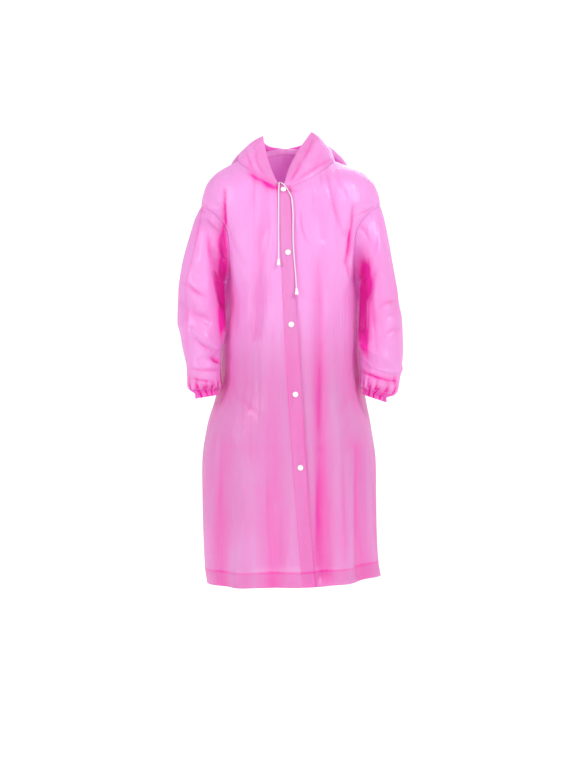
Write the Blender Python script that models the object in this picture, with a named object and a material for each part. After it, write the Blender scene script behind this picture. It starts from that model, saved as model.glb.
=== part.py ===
"""Knee-length hooded raincoat in frosted film, hanging as it is worn.

Metres, +Z up, the front towards -Y. Right and left are the coat's own: its
right side is at -X. The origin is where the shoulders carry the coat, on the
centre line and level with the base of the neck.

Every cloth piece is a middle surface worked out from the tables below, given
its wall by moving its points half a wall out and half a wall in.
"""
import math
from collections import namedtuple

import bmesh
import bpy
import numpy as np
from mathutils import Vector

# ---------------------------------------------------------------- driving sizes

WALL = 0.0012            # thickness of the film's solid
GAP = 0.0003             # clearance between pieces that are sewn or welded
LAYER = WALL + GAP       # step from one layer to the next one behind it
BAND_HALF = 0.018        # half the width of the snap band
CASING_WIDTH = 0.028     # hood edge casing that the drawcord runs in
CORD_DIAMETER = 0.003
CORD_CLEAR = 0.0006      # between the cord and the cloth that it lies on
WELD_DISTANCE = 0.00001  # points of two panels this near are one point of a seam
SLANT = (0.13, 0.31, 0.94)   # direction that tells the higher end of any edge
SNAP_RADIUS = 0.007
SOCKET_RADIUS = 0.0055
SOCKET_STAND = 0.0012    # height of a socket off the cloth behind it, over its hollow
CORD_END_LENGTH = 0.017
CORD_END_RADIUS = 0.0045
CORD_END_NARROW = 0.62   # its upper end's share of that radius
CORD_PITCH = 2.7         # diameters from one point of a cord's route to the next
STRIP_TRIM = 0.0010      # how far a hem's facing stops short of the seams beside it
TOP_TRIM = 0.0025        # and a placket's short of the neck
CASING_TRIM = 0.0005     # and a casing's short of the hood's edges

FRONT_COLUMNS = 10       # from the band to the side seam
BACK_COLUMNS = 22
SLEEVE_COLUMNS = 20      # doubled where the cuff is gathered
ARMHOLE_ROWS = SLEEVE_COLUMNS // 2
ARMHOLE_HALF_ANGLE = math.radians(27.0)
HOOD_ROWS = 12           # neck seam to casing
HOOD_PATH_STEPS = 120    # fine steps on a hood column before it is spaced out
PLACKET_COLUMNS = 3      # points across the band, from edge to edge

# ---------------------------------------------------------------- body sections

# Each level is a closed ring round the body. z is given at the front, at the
# right and left sides and at the back. y_front and y_back are its depth, y_wide
# where it is widest, half_right and half_left its reach from the centre, close
# the x of the line of snaps, and power the squareness of its corners.
Level = namedtuple("Level", "name z_front z_right z_left z_back y_front y_back y_wide"
                            " half_right half_left centre close power")
LEVELS = [
    Level("hem", -1.094, -1.100, -1.077, -1.085, -0.175, 0.165, 0.000, 0.222, 0.228, 0.000, 0.0430, 2.3),
    Level("hem_top", -1.058, -1.064, -1.041, -1.049, -0.174, 0.164, 0.000, 0.227, 0.222, 0.000, 0.0405, 2.3),
    Level("calf", -0.950, -0.952, -0.946, -0.947, -0.172, 0.162, 0.000, 0.232, 0.218, 0.000, 0.0300, 2.3),
    Level("knee", -0.800, -0.800, -0.800, -0.800, -0.168, 0.160, 0.010, 0.235, 0.217, 0.000, 0.0190, 2.2),
    Level("thigh", -0.700, -0.700, -0.700, -0.700, -0.166, 0.157, 0.040, 0.224, 0.206, 0.000, 0.0120, 2.1),
    Level("hip", -0.620, -0.620, -0.620, -0.620, -0.164, 0.154, 0.080, 0.203, 0.193, 0.000, 0.0065, 2.0),
    Level("belly", -0.560, -0.560, -0.560, -0.560, -0.163, 0.152, 0.098, 0.194, 0.187, 0.000, 0.0030, 2.0),
    Level("waist", -0.500, -0.500, -0.500, -0.500, -0.162, 0.150, 0.100, 0.194, 0.183, 0.000, -0.0005, 2.0),
    Level("ribs", -0.385, -0.385, -0.385, -0.385, -0.158, 0.148, 0.095, 0.179, 0.178, 0.000, -0.0070, 2.0),
    Level("underarm", -0.345, -0.345, -0.345, -0.345, -0.1545, 0.1465, 0.080, 0.175, 0.174, 0.000, -0.0086, 2.1),
    Level("armpit", -0.315, -0.315, -0.315, -0.315, -0.150, 0.144, 0.045, 0.163, 0.160, 0.000, -0.0100, 2.5),
    Level("mid_arm", -0.215, -0.205, -0.205, -0.200, -0.139, 0.137, 0.010, 0.173, 0.169, 0.000, -0.0150, 2.8),
    Level("high_arm", -0.165, -0.158, -0.158, -0.140, -0.1345, 0.131, 0.009, 0.204, 0.198, 0.000, -0.0185, 2.8),
    Level("tip", -0.138, -0.124, -0.122, -0.095, -0.1315, 0.122, 0.008, 0.236, 0.227, 0.000, -0.0208, 2.8),
    Level("shoulder_edge", -0.126, -0.078, -0.078, -0.062, -0.129, 0.1135, 0.004, 0.221, 0.219, -0.004, -0.0215, 2.8),
    Level("shoulder", -0.110, -0.045, -0.045, -0.025, -0.125, 0.101, 0.000, 0.190, 0.199, -0.010, -0.0225, 2.6),
    Level("neck", -0.088, -0.011, -0.011, 0.020, -0.114, 0.078, -0.005, 0.127, 0.127, -0.017, -0.0240, 2.3),
]
LEVEL_INDEX = {level.name: index for index, level in enumerate(LEVELS)}
ARMPIT, TIP, NECK = LEVEL_INDEX["armpit"], LEVEL_INDEX["tip"], LEVEL_INDEX["neck"]

# Rows of the body panels: the skirt, the armhole and the shoulder.
SKIRT_ROWS = [0.0, 1.0, 2.0, 2.5, 3.0, 3.5, 4.0, 5.0, 6.0, 7.0, 8.0, 9.0]
SHOULDER_ROWS = [14.0, 15.0, 15.5, 16.0]
HEM_TOP_ROW = 1

# Folds of the body: a ridge (depth above 0) or trough runs from its top to its
# bottom. Bearings are degrees round Z, 0 at the front and 90 at the left side.
Fold = namedtuple("Fold", "name top_deg top_z top_depth bottom_deg bottom_z bottom_depth width_deg")
BODY_FOLDS = [
    Fold("hem_corner_ridge", -36.0, -0.80, 0.002, -39.0, -1.10, 0.017, 8.0),
    Fold("right_skirt_trough", -55.0, -0.75, -0.004, -57.0, -1.10, -0.010, 8.0),
    Fold("right_band_trough", -15.0, -0.55, -0.003, -14.0, -1.10, -0.008, 7.0),
    Fold("right_chest_trough", -29.0, -0.20, -0.004, -38.0, -0.46, -0.008, 8.0),
    Fold("long_left_trough", 25.0, -0.28, -0.004, 26.0, -1.06, -0.014, 7.0),
    Fold("left_skirt_ridge", 38.0, -0.50, 0.002, 41.0, -1.08, 0.012, 7.0),
    Fold("left_side_trough", 57.0, -0.74, -0.005, 58.0, -1.08, -0.010, 7.0),
    Fold("left_side_ridge", 72.0, -0.80, 0.002, 73.0, -1.08, 0.006, 7.0),
    Fold("right_shoulder_drag", -58.0, -0.15, 0.004, -58.0, -0.32, 0.012, 10.0),
    Fold("left_shoulder_drag", 58.0, -0.15, 0.004, 58.0, -0.32, 0.012, 10.0),
    Fold("back_left_ridge", 118.0, -0.70, 0.003, 116.0, -1.09, 0.014, 9.0),
    Fold("back_left_trough", 137.0, -0.40, -0.005, 137.0, -1.09, -0.013, 9.0),
    Fold("back_left_inner_ridge", 156.0, -0.40, 0.004, 157.0, -1.09, 0.013, 9.0),
    Fold("back_centre_trough", 177.0, -0.42, -0.004, 176.0, -1.09, -0.012, 9.0),
    Fold("back_right_inner_ridge", 198.0, -0.40, 0.004, 197.0, -1.09, 0.014, 9.0),
    Fold("back_right_trough", 219.0, -0.40, -0.005, 219.0, -1.09, -0.013, 9.0),
    Fold("back_right_ridge", 241.0, -0.70, 0.003, 243.0, -1.09, 0.014, 9.0),
    Fold("yoke_left_dent", 24.0, -0.13, -0.004, 30.0, -0.22, -0.003, 6.0),
    Fold("yoke_right_dent", -24.0, -0.12, -0.004, -25.0, -0.20, -0.003, 6.0),
]
DEGREE_LENGTH = 0.003    # length of one degree of bearing round the body

# ---------------------------------------------------------------- sleeve sections

# Each ring has its outer and inner edge in x and z, and its front and back in y.
# gather is the height of the waves that the elastic draws in.
Ring = namedtuple("Ring", "name x_out z_out x_in z_in y_front y_back gather")
RIGHT_SLEEVE = [
    Ring("cap", -0.2510, -0.160, -0.1765, -0.321, -0.074, 0.088, 0.0),
    Ring("upper", -0.2640, -0.205, -0.1760, -0.338, -0.080, 0.087, 0.0),
    Ring("biceps", -0.2835, -0.285, -0.1775, -0.362, -0.084, 0.080, 0.0),
    Ring("elbow_top", -0.2915, -0.355, -0.1775, -0.397, -0.087, 0.070, 0.0),
    Ring("elbow", -0.2925, -0.430, -0.1765, -0.445, -0.092, 0.060, 0.0),
    Ring("forearm_top", -0.2850, -0.490, -0.1840, -0.495, -0.097, 0.050, 0.0),
    Ring("forearm", -0.2730, -0.545, -0.1850, -0.545, -0.098, 0.040, 0.0),
    Ring("blouse", -0.2680, -0.588, -0.1840, -0.583, -0.092, 0.030, 0.0015),
    Ring("gather", -0.2620, -0.604, -0.1890, -0.597, -0.078, 0.012, 0.0028),
    Ring("elastic", -0.2490, -0.613, -0.1970, -0.606, -0.066, -0.006, 0.0022),
    Ring("cuff_edge", -0.2530, -0.626, -0.1950, -0.619, -0.070, -0.002, 0.0032),
]
LEFT_SLEEVE = [
    Ring("cap", 0.2370, -0.160, 0.1735, -0.321, -0.074, 0.088, 0.0),
    Ring("upper", 0.2460, -0.205, 0.1740, -0.338, -0.080, 0.087, 0.0),
    Ring("biceps", 0.2590, -0.285, 0.1760, -0.362, -0.084, 0.080, 0.0),
    Ring("elbow_top", 0.2710, -0.355, 0.1765, -0.395, -0.087, 0.070, 0.0),
    Ring("elbow", 0.2840, -0.430, 0.1740, -0.445, -0.092, 0.060, 0.0),
    Ring("forearm_top", 0.2855, -0.500, 0.1710, -0.495, -0.097, 0.050, 0.0),
    Ring("forearm", 0.2795, -0.555, 0.1730, -0.545, -0.098, 0.040, 0.0),
    Ring("blouse", 0.2710, -0.597, 0.1740, -0.583, -0.092, 0.030, 0.0015),
    Ring("gather", 0.2580, -0.617, 0.1780, -0.596, -0.078, 0.012, 0.0028),
    Ring("elastic", 0.2370, -0.625, 0.1830, -0.605, -0.066, -0.006, 0.0022),
    Ring("cuff_edge", 0.2410, -0.639, 0.1810, -0.617, -0.070, -0.002, 0.0032),
]
SLEEVE_END = 9           # the sleeve ends at this ring, and its cuff begins
SLEEVE_STEPS = 2         # rows between two rings
GATHER_START = 7.0       # columns are doubled from this ring down
SLEEVE_GIRTH = 0.36      # length that one turn stands for when creases are laid out

# Folds of a sleeve: from its start to its end, as ring number and turn. The
# turn is 0 at the outer edge, 0.25 at the front, 0.5 at the inner edge.
Crease = namedtuple("Crease", "name start_ring start_turn end_ring end_turn depth width")
RIGHT_CREASES = [
    Crease("outer_ridge", 0.6, 0.06, 5.0, 0.04, 0.006, 0.016),
    Crease("front_valley", 1.0, 0.30, 3.6, 0.42, -0.010, 0.016),
    Crease("armpit_pocket", 2.2, 0.36, 3.0, 0.20, -0.008, 0.014),
    Crease("elbow_crease", 4.2, 0.10, 4.8, 0.30, -0.008, 0.013),
    Crease("forearm_ridge", 5.2, 0.12, 6.0, 0.38, 0.007, 0.014),
    Crease("forearm_pocket", 6.5, 0.40, 6.7, 0.22, -0.008, 0.012),
    Crease("back_elbow_crease", 4.4, 0.70, 5.0, 0.88, -0.009, 0.015),
    Crease("back_forearm_crease", 5.9, 0.62, 6.4, 0.84, -0.008, 0.014),
]
LEFT_CREASES = [
    Crease("outer_ridge", 0.6, 0.05, 4.0, 0.06, 0.004, 0.016),
    Crease("inner_valley", 2.2, 0.40, 5.0, 0.42, -0.008, 0.014),
    Crease("front_dent", 2.6, 0.30, 3.4, 0.36, -0.008, 0.016),
    Crease("elbow_crease", 4.3, 0.08, 5.0, 0.26, -0.007, 0.013),
    Crease("blousing_ridge", 5.9, 0.42, 6.9, 0.08, 0.008, 0.014),
    Crease("blousing_pocket", 6.9, 0.36, 7.4, 0.12, -0.007, 0.012),
    Crease("back_elbow_crease", 4.5, 0.68, 5.1, 0.86, -0.009, 0.015),
    Crease("back_forearm_crease", 6.0, 0.64, 6.5, 0.86, -0.008, 0.014),
]

# ---------------------------------------------------------------- hood

# The face edge of each half, from the throat to the centre back. share is the
# share of the half's neck seam that the point stands over.
Rim = namedtuple("Rim", "name share x y z")
NAPE_X = -0.017
RIGHT_RIM = [
    Rim("throat", 0.00, -0.0385, -0.1040, -0.0785),
    Rim("collar", 0.10, -0.0470, -0.0900, -0.0600),
    Rim("cheek", 0.24, -0.0600, -0.0650, -0.0230),
    Rim("temple", 0.38, -0.0715, -0.0350, 0.0260),
    Rim("peak", 0.52, -0.0767, 0.0000, 0.0570),
    Rim("behind_peak", 0.68, -0.0770, 0.0500, 0.0525),
    Rim("rear_corner", 0.84, -0.0620, 0.1010, 0.0470),
    Rim("nape", 1.00, NAPE_X, 0.1300, 0.0440),
]
LEFT_RIM = [
    Rim("throat", 0.00, -0.0205, -0.1010, -0.0780),
    Rim("collar", 0.12, -0.0110, -0.0830, -0.0440),
    Rim("cheek", 0.26, 0.0110, -0.0500, 0.0060),
    Rim("temple", 0.40, 0.0360, -0.0150, 0.0470),
    Rim("peak", 0.52, 0.0500, 0.0100, 0.0695),
    Rim("behind_peak", 0.68, 0.0460, 0.0550, 0.0620),
    Rim("rear_corner", 0.84, 0.0240, 0.1000, 0.0500),
    Rim("nape", 1.00, NAPE_X, 0.1300, 0.0440),
]

# The fallen hood behind the neck: down the back, round the bottom and up again.
# drop is the share of the pouch's depth, lift its height off the back panel and
# rise a lift straight up.
Pouch = namedtuple("Pouch", "name drop lift rise")
POUCH = [
    Pouch("seam", 0.00, 0.000, 0.000),
    Pouch("stand", 0.00, 0.005, 0.014),
    Pouch("crest", 0.06, 0.016, 0.016),
    Pouch("over", 0.20, 0.019, 0.004),
    Pouch("fall", 0.42, 0.012, 0.000),
    Pouch("drop", 0.70, 0.009, 0.000),
    Pouch("bottom_in", 0.92, 0.012, 0.000),
    Pouch("bottom", 1.00, 0.026, 0.000),
    Pouch("bottom_out", 0.95, 0.042, 0.000),
    Pouch("outer_low", 0.76, 0.052, 0.000),
    Pouch("outer_mid", 0.48, 0.055, 0.000),
    Pouch("outer_top", 0.18, 0.048, 0.004),
    Pouch("rim", 0.00, 0.040, 0.016),
]
POUCH_DEPTH_BACK = 4.2       # levels below the neck at the centre back
POUCH_DEPTH_SIDE = 0.8       # and over the shoulder
POUCH_SIDE_DEG = 95.0        # the pouch starts to open here
POUCH_FULL_DEG = 160.0       # and is full from here to the centre back
HOOD_BULGE = 0.010           # crown of the hood between its seam and its rim
HOOD_BULGE_SHARE = 0.12      # and the most that it takes of a short column
HOOD_LEAN = 1.2              # upward share of the direction that it swells in
CASING_SHARE = 0.6           # the most that the casing takes of a short column
STANDING_DEG = 85.0          # the hood stands straight up to here
FALLEN_DEG = 125.0           # and from here on it lies fallen back in its pouch

# ---------------------------------------------------------------- small parts

Snap = namedtuple("Snap", "number x z")
SNAPS = [
    Snap(1, -0.0235, -0.099),
    Snap(2, -0.0117, -0.259),
    Snap(3, -0.0035, -0.440),
    Snap(4, 0.0067, -0.614),
    Snap(5, 0.0191, -0.796),
]

# The drawcord's way out of the casing, inside the hood's corner and round its edge.
Turn = namedtuple("Turn", "x y z")
RIGHT_THROAT = [
    Turn(-0.0470, -0.1000, -0.0730),
    Turn(-0.0404, -0.1036, -0.0820),
    Turn(-0.0350, -0.1062, -0.0805),
    Turn(-0.0342, -0.1135, -0.0808),
]
LEFT_THROAT = [
    Turn(-0.0130, -0.0988, -0.0716),
    Turn(-0.0221, -0.0996, -0.0828),
    Turn(-0.0284, -0.1052, -0.0815),
    Turn(-0.0285, -0.1128, -0.0808),
]

# Free ends of the drawcord over the front: x, z and lift of the cord's surface
# above the cloth, from the throat down.
Lay = namedtuple("Lay", "x z lift")
RIGHT_CORD = [
    Lay(-0.0350, -0.094, 0.0008),
    Lay(-0.0352, -0.112, 0.0006),
    Lay(-0.0350, -0.150, 0.0006),
    Lay(-0.0352, -0.200, 0.0006),
    Lay(-0.0350, -0.245, 0.0012),
    Lay(-0.0349, -0.276, 0.0036),
]
LEFT_CORD = [
    Lay(-0.0200, -0.0900, 0.0010),
    Lay(-0.0118, -0.1020, 0.0006),
    Lay(-0.0060, -0.1130, 0.0006),
    Lay(-0.0020, -0.126, 0.0006),
    Lay(0.0006, -0.160, 0.0006),
    Lay(0.0008, -0.200, 0.0006),
    Lay(0.0014, -0.240, 0.0006),
    Lay(0.0050, -0.290, 0.0006),
    Lay(0.0078, -0.325, 0.0014),
    Lay(0.0090, -0.350, 0.0036),
]


# ================================================================ curves

def smoothstep(low, high, value):
    """0 below low, 1 above high, an S-shaped rise between."""
    share = np.clip((value - low) / (high - low), 0.0, 1.0)
    return share * share * (3.0 - 2.0 * share)


def monotone_curve(knots, values, at):
    """Cubic through values at knots that never overshoots between two of them."""
    knots, values, at = np.asarray(knots, float), np.asarray(values, float), np.asarray(at, float)
    steps = np.diff(knots)
    slopes = np.diff(values, axis=0) / steps.reshape(-1, *([1] * (values.ndim - 1)))
    tangents = np.zeros_like(values)
    before, after = slopes[:-1], slopes[1:]
    same_sign = before * after > 0.0
    total = np.where(same_sign, before + after, 1.0)
    tangents[1:-1] = np.where(same_sign, 2.0 * before * after / total, 0.0)
    tangents[0], tangents[-1] = slopes[0], slopes[-1]
    cell = np.clip(np.searchsorted(knots, at, side="right") - 1, 0, len(knots) - 2)
    width = steps[cell]
    share = (at - knots[cell]) / width
    if values.ndim > 1:
        width, share = width[..., None], share[..., None]
    square, cube = share ** 2, share ** 3
    return ((2 * cube - 3 * square + 1) * values[cell] + (cube - 2 * square + share) * width * tangents[cell]
            + (3 * square - 2 * cube) * values[cell + 1] + (cube - square) * width * tangents[cell + 1])


def smooth_path(points, count):
    """A Catmull-Rom curve through points, read at count even steps of length."""
    points = np.asarray(points, float)
    padded = np.vstack([2 * points[0] - points[1], points, 2 * points[-1] - points[-2]])
    fine = []
    for index in range(len(points) - 1):
        p0, p1, p2, p3 = padded[index:index + 4]
        share = np.linspace(0.0, 1.0, 24, endpoint=False)[:, None]
        fine.append(0.5 * (2 * p1 + (p2 - p0) * share + (2 * p0 - 5 * p1 + 4 * p2 - p3) * share ** 2
                           + (3 * p1 - p0 - 3 * p2 + p3) * share ** 3))
    fine = np.vstack(fine + [points[-1:]])
    return spaced(fine, np.linspace(0.0, path_lengths(fine)[-1], count))


def path_lengths(points):
    """Length along a path up to each of its points."""
    return np.concatenate([[0.0], np.cumsum(np.linalg.norm(np.diff(points, axis=0), axis=1))])


def spaced(points, lengths):
    """The places on a path at the given lengths from its start."""
    along = path_lengths(points)
    return np.stack([np.interp(lengths, along, points[:, axis]) for axis in range(3)], axis=1)


def unit(vectors):
    """Vectors scaled to length 1."""
    return vectors / np.maximum(np.linalg.norm(vectors, axis=-1, keepdims=True), 1e-12)


# ================================================================ the body's surface

def level_at(row):
    """The level's columns at any row, whole or between two levels."""
    values = np.array([level[1:] for level in LEVELS])
    blended = monotone_curve(np.arange(len(LEVELS)), values, row)
    return Level("", *np.moveaxis(blended, -1, 0))


def fold_depth(bearing, z):
    """How far the body's folds push the cloth out at a bearing (degrees) and height."""
    depth = np.zeros(np.broadcast(bearing, z).shape)
    for fold in BODY_FOLDS:
        run = np.array([(fold.bottom_deg - fold.top_deg) * DEGREE_LENGTH, fold.bottom_z - fold.top_z])
        across = np.mod(bearing - fold.top_deg + 180.0, 360.0) - 180.0
        place = np.stack(np.broadcast_arrays(across * DEGREE_LENGTH, z - fold.top_z), axis=-1)
        share = np.clip(place @ run / (run @ run), 0.0, 1.0)
        distance = np.linalg.norm(place - share[..., None] * run, axis=-1)
        height = fold.top_depth + (fold.bottom_depth - fold.top_depth) * share
        depth = depth + height * np.exp(-(distance / (fold.width_deg * DEGREE_LENGTH)) ** 2)
    return depth


def body_point(row, angle):
    """Points of the body's middle surface. angle is the turn round a level's widest
    line: 0 at the front, a right angle at the left side."""
    row, angle = np.broadcast_arrays(np.asarray(row, float), np.asarray(angle, float))
    level = level_at(row)
    sine, cosine = np.sin(angle), np.cos(angle)
    reach = np.where(sine < 0.0, level.half_right, level.half_left)
    depth = np.where(cosine > 0.0, level.y_wide - level.y_front, level.y_back - level.y_wide)
    radius = ((np.abs(sine) / reach) ** level.power + (np.abs(cosine) / depth) ** level.power) ** (-1.0 / level.power)
    side_z = np.where(sine < 0.0, level.z_right, level.z_left)
    end_z = np.where(cosine > 0.0, level.z_front, level.z_back)
    x = level.centre + radius * sine
    y = level.y_wide - radius * cosine
    z = side_z * sine ** 2 + end_z * cosine ** 2
    push = fold_depth(np.degrees(np.arctan2(x, -y)), z)
    return np.stack([x + push * sine, y - push * cosine, z], axis=-1)


def body_normal(row, angle):
    """Outward direction of the body's surface, from two short steps on it."""
    step = 0.02
    low, high = np.maximum(row - step, 0.0), np.minimum(row + step, float(NECK))
    up = body_point(high, angle) - body_point(low, angle)
    across = body_point(row, angle + step) - body_point(row, angle - step)
    return unit(np.cross(across, up))


def angle_at_x(row, x):
    """The angle of the front where it crosses x, at each row."""
    level = level_at(np.asarray(row, float))
    return np.arctan2(x - level.centre, level.y_wide - level.y_front)


def armhole_share(row):
    """Height in the armhole at each row: 0 at the armpit, 1 at the shoulder's tip."""
    level = level_at(np.asarray(row, float))
    low, high = level_at(np.array([float(ARMPIT), float(TIP)])).z_right
    return np.clip((level.z_right - low) / (high - low), 0.0, 1.0)


def armhole_angle(row):
    """How far the armhole's edge stands from the side line: an upright ellipse."""
    share = armhole_share(row)
    return ARMHOLE_HALF_ANGLE * 2.0 * np.sqrt(share * (1.0 - share))


def body_rows():
    """The rows of the body panels, from the hem to the neck. The armhole's rows lie
    closer together near its two ends, where its edge turns."""
    fine = np.linspace(ARMPIT, TIP, 601)
    even = np.linspace(0.0, 1.0, ARMHOLE_ROWS + 1)
    share = (even + (1.0 - np.cos(math.pi * even)) / 2.0) / 2.0
    armhole = np.interp(share, armhole_share(fine), fine)
    return np.concatenate([SKIRT_ROWS, armhole, SHOULDER_ROWS])


def side_angle(rows):
    """Angle of a panel's side edge from the front: the side seam or the armhole."""
    return math.pi / 2.0 - armhole_angle(rows)


def band_angles(rows):
    """Angles of the band's right edge, line of snaps and left edge, one row each."""
    close = level_at(rows).close
    return np.stack([angle_at_x(rows, close + offset) for offset in (-BAND_HALF, 0.0, BAND_HALF)], axis=1)


# ================================================================ panels

class Panel:
    """A piece of cloth: rows of points on its middle surface, and its offsets. splits
    says of each cell whether its diagonal rises; a strip takes its panel's."""

    def __init__(self, name, rows, closed=False, splits=None):
        self.name = name
        self.closed = closed
        self.rows = [np.array(row, float) for row in rows]
        self.counts = [len(row) for row in self.rows]
        self.points = np.vstack(self.rows)
        self.splits = rising_diagonals(self.rows) if splits is None else splits
        self.triangles = row_triangles(self.counts, closed, self.splits)
        self.offsets = None

    def grid(self, values):
        """Values of the points, cut back into the panel's rows."""
        return np.split(values, np.cumsum(self.counts)[:-1])


def rising_diagonals(rows):
    """For each cell between two rows, whether its rising diagonal is the shorter."""
    splits = []
    for low, high in zip(rows[:-1], rows[1:]):
        if len(low) != len(high):
            splits.append(None)
            continue
        rising = np.linalg.norm(np.roll(high, -1, axis=0) - low, axis=1)
        falling = np.linalg.norm(np.roll(low, -1, axis=0) - high, axis=1)
        splits.append(rising <= falling + WELD_DISTANCE)
    return splits


def row_triangles(counts, closed, splits):
    """Triangles between rows of points. A row may have half the last one's cells."""
    triangles, start = [], 0
    for lower, upper, rising in zip(counts[:-1], counts[1:], splits):
        cells_low = lower if closed else lower - 1
        cells_high = upper if closed else upper - 1
        base = start + lower
        for cell in range(cells_high):
            d, e = base + cell, base + (cell + 1) % upper
            if cells_low == cells_high:
                a, b = start + cell, start + (cell + 1) % lower
                triangles += [(a, b, e), (a, e, d)] if rising[cell] else [(a, b, d), (b, e, d)]
            else:
                a, b, c = (start + (2 * cell + step) % lower for step in range(3))
                triangles += [(a, b, d), (b, e, d), (b, c, e)]
        start = base
    return np.array(triangles)


def weld_offsets(panels):
    """Give each panel its offset vectors: the mean normal of all the facets that meet
    at a point, of every panel there, made long enough to keep the wall's thickness."""
    points = np.vstack([panel.points for panel in panels])
    keys, place = np.unique(np.round(points / WELD_DISTANCE + 1.0 / 3.0), axis=0, return_inverse=True)
    place = place.reshape(-1)
    triangles, start = [], 0
    for panel in panels:
        triangles.append(panel.triangles + start)
        start += len(panel.points)
    triangles = np.vstack(triangles)
    corners = points[triangles]
    facet = np.cross(corners[:, 1] - corners[:, 0], corners[:, 2] - corners[:, 0])
    facet_unit = unit(facet)
    total = np.zeros((len(keys), 3))
    for corner in range(3):
        edges = corners[:, (corner + 1) % 3] - corners[:, corner], corners[:, (corner + 2) % 3] - corners[:, corner]
        wedge = np.arccos(np.clip(np.sum(unit(edges[0]) * unit(edges[1]), axis=1), -1.0, 1.0))
        np.add.at(total, place[triangles[:, corner]], facet_unit * wedge[:, None])
    normal = unit(total)
    cosines, meets = np.zeros(len(keys)), np.zeros(len(keys))
    for corner in range(3):
        index = place[triangles[:, corner]]
        np.add.at(cosines, index, np.sum(normal[index] * facet_unit, axis=1))
        np.add.at(meets, index, 1.0)
    stretch = np.clip(meets / np.maximum(cosines, 1e-6), 1.0, 1.5)
    shared = np.bincount(place, minlength=len(keys))
    start = 0
    for panel in panels:
        index = place[start:start + len(panel.points)]
        panel.offsets = normal[index] * stretch[index][:, None]
        pull_back(panel, shared[index] > 1)
        start += len(panel.points)


def pull_back(panel, welded):
    """Move the panel's edge back by half a gap where it meets another panel."""
    edges = {}
    for triangle in panel.triangles:
        for corner in range(3):
            a, b, c = (int(triangle[(corner + step) % 3]) for step in range(3))
            edges.setdefault((min(a, b), max(a, b)), []).append((a, b, c))
    inward = np.zeros_like(panel.points)
    for uses in edges.values():
        a, b, c = uses[0]
        if len(uses) > 1 or not (welded[a] and welded[b]):
            continue
        along = panel.points[b] - panel.points[a]
        side = unit(np.cross(panel.offsets[a] + panel.offsets[b], along))
        side *= np.sign(side @ (panel.points[c] - panel.points[a]))
        inward[a] += side
        inward[b] += side
    panel.points = panel.points + unit(inward) * GAP / 2.0


def strip_from(name, panel, row_range, column_range, layers, inset=(0.0, 0.0, 0.0, 0.0)):
    """A strip made from a panel's own points, moved in by layers (metres, one value or
    one for each row and column). inset trims its bottom, top, first and last edge."""
    points = [row[column_range] for row in panel.grid(panel.points)[row_range]]
    offsets = [row[column_range] for row in panel.grid(panel.offsets)[row_range]]
    points, offsets = np.array(points), np.array(offsets)
    layers = np.broadcast_to(layers, points.shape[:2])
    moved = points - offsets * layers[..., None]
    moved[0] += unit(moved[1] - moved[0]) * inset[0]
    moved[-1] += unit(moved[-2] - moved[-1]) * inset[1]
    moved[:, 0] += unit(moved[:, 1] - moved[:, 0]) * inset[2]
    moved[:, -1] += unit(moved[:, -2] - moved[:, -1]) * inset[3]
    splits = [row[column_range] for row in panel.splits[row_range] + panel.splits[-1:]]
    strip = Panel(name, list(moved), splits=splits[:len(moved) - 1])
    strip.offsets = np.vstack(list(offsets))
    return strip


def front_layers(columns):
    """How deep the left front lies under the right one: two layers below it in the
    band, and less with each column past it."""
    lap = 2.0 * LAYER + GAP
    layers = np.zeros(columns)
    layers[:PLACKET_COLUMNS] = lap
    layers[PLACKET_COLUMNS] = lap / 2.0
    return layers


def body_panels():
    """The two fronts and the back."""
    rows = body_rows()
    band = band_angles(rows)
    side = side_angle(rows)
    share = np.linspace(0.0, 1.0, FRONT_COLUMNS + 1)
    right = -side[:, None] + (band[:, 0] + side)[:, None] * share
    right = np.hstack([right, band[:, 1:]])
    left = band[:, 2][:, None] + (side - band[:, 2])[:, None] * share
    left = np.hstack([band[:, :2], left])
    share = np.linspace(0.0, 1.0, BACK_COLUMNS + 1)
    back = math.pi - side[:, None] + 2.0 * side[:, None] * share
    front_right = Panel("front_right", body_point(rows[:, None], right))
    under = body_point(rows[:, None], left)
    under -= body_normal(rows[:, None], left) * front_layers(left.shape[1])[:, None]
    front_left = Panel("front_left", under)
    return front_right, front_left, Panel("back", body_point(rows[:, None], back))


# ================================================================ sleeves

def ring_points(rings, place, columns):
    """One ring of a sleeve's middle surface at a place between the table's rings."""
    values = np.array([ring[1:] for ring in rings])
    ring = Ring("", *monotone_curve(np.arange(1, len(rings) + 1), values, place))
    turn = np.arange(columns) / columns * 2.0 * math.pi
    x = (ring.x_out + ring.x_in) / 2.0 + (ring.x_out - ring.x_in) / 2.0 * np.cos(turn)
    z = (ring.z_out + ring.z_in) / 2.0 + (ring.z_out - ring.z_in) / 2.0 * np.cos(turn)
    y = (ring.y_front + ring.y_back) / 2.0 - (ring.y_back - ring.y_front) / 2.0 * np.sin(turn)
    points = np.stack([x, y, z], axis=1)
    outward = unit(points - points.mean(axis=0))
    wave = np.where(np.arange(columns) % 2, 1.0, -1.0) if columns > SLEEVE_COLUMNS else np.zeros(columns)
    return points + outward * (wave * ring.gather)[:, None]


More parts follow.
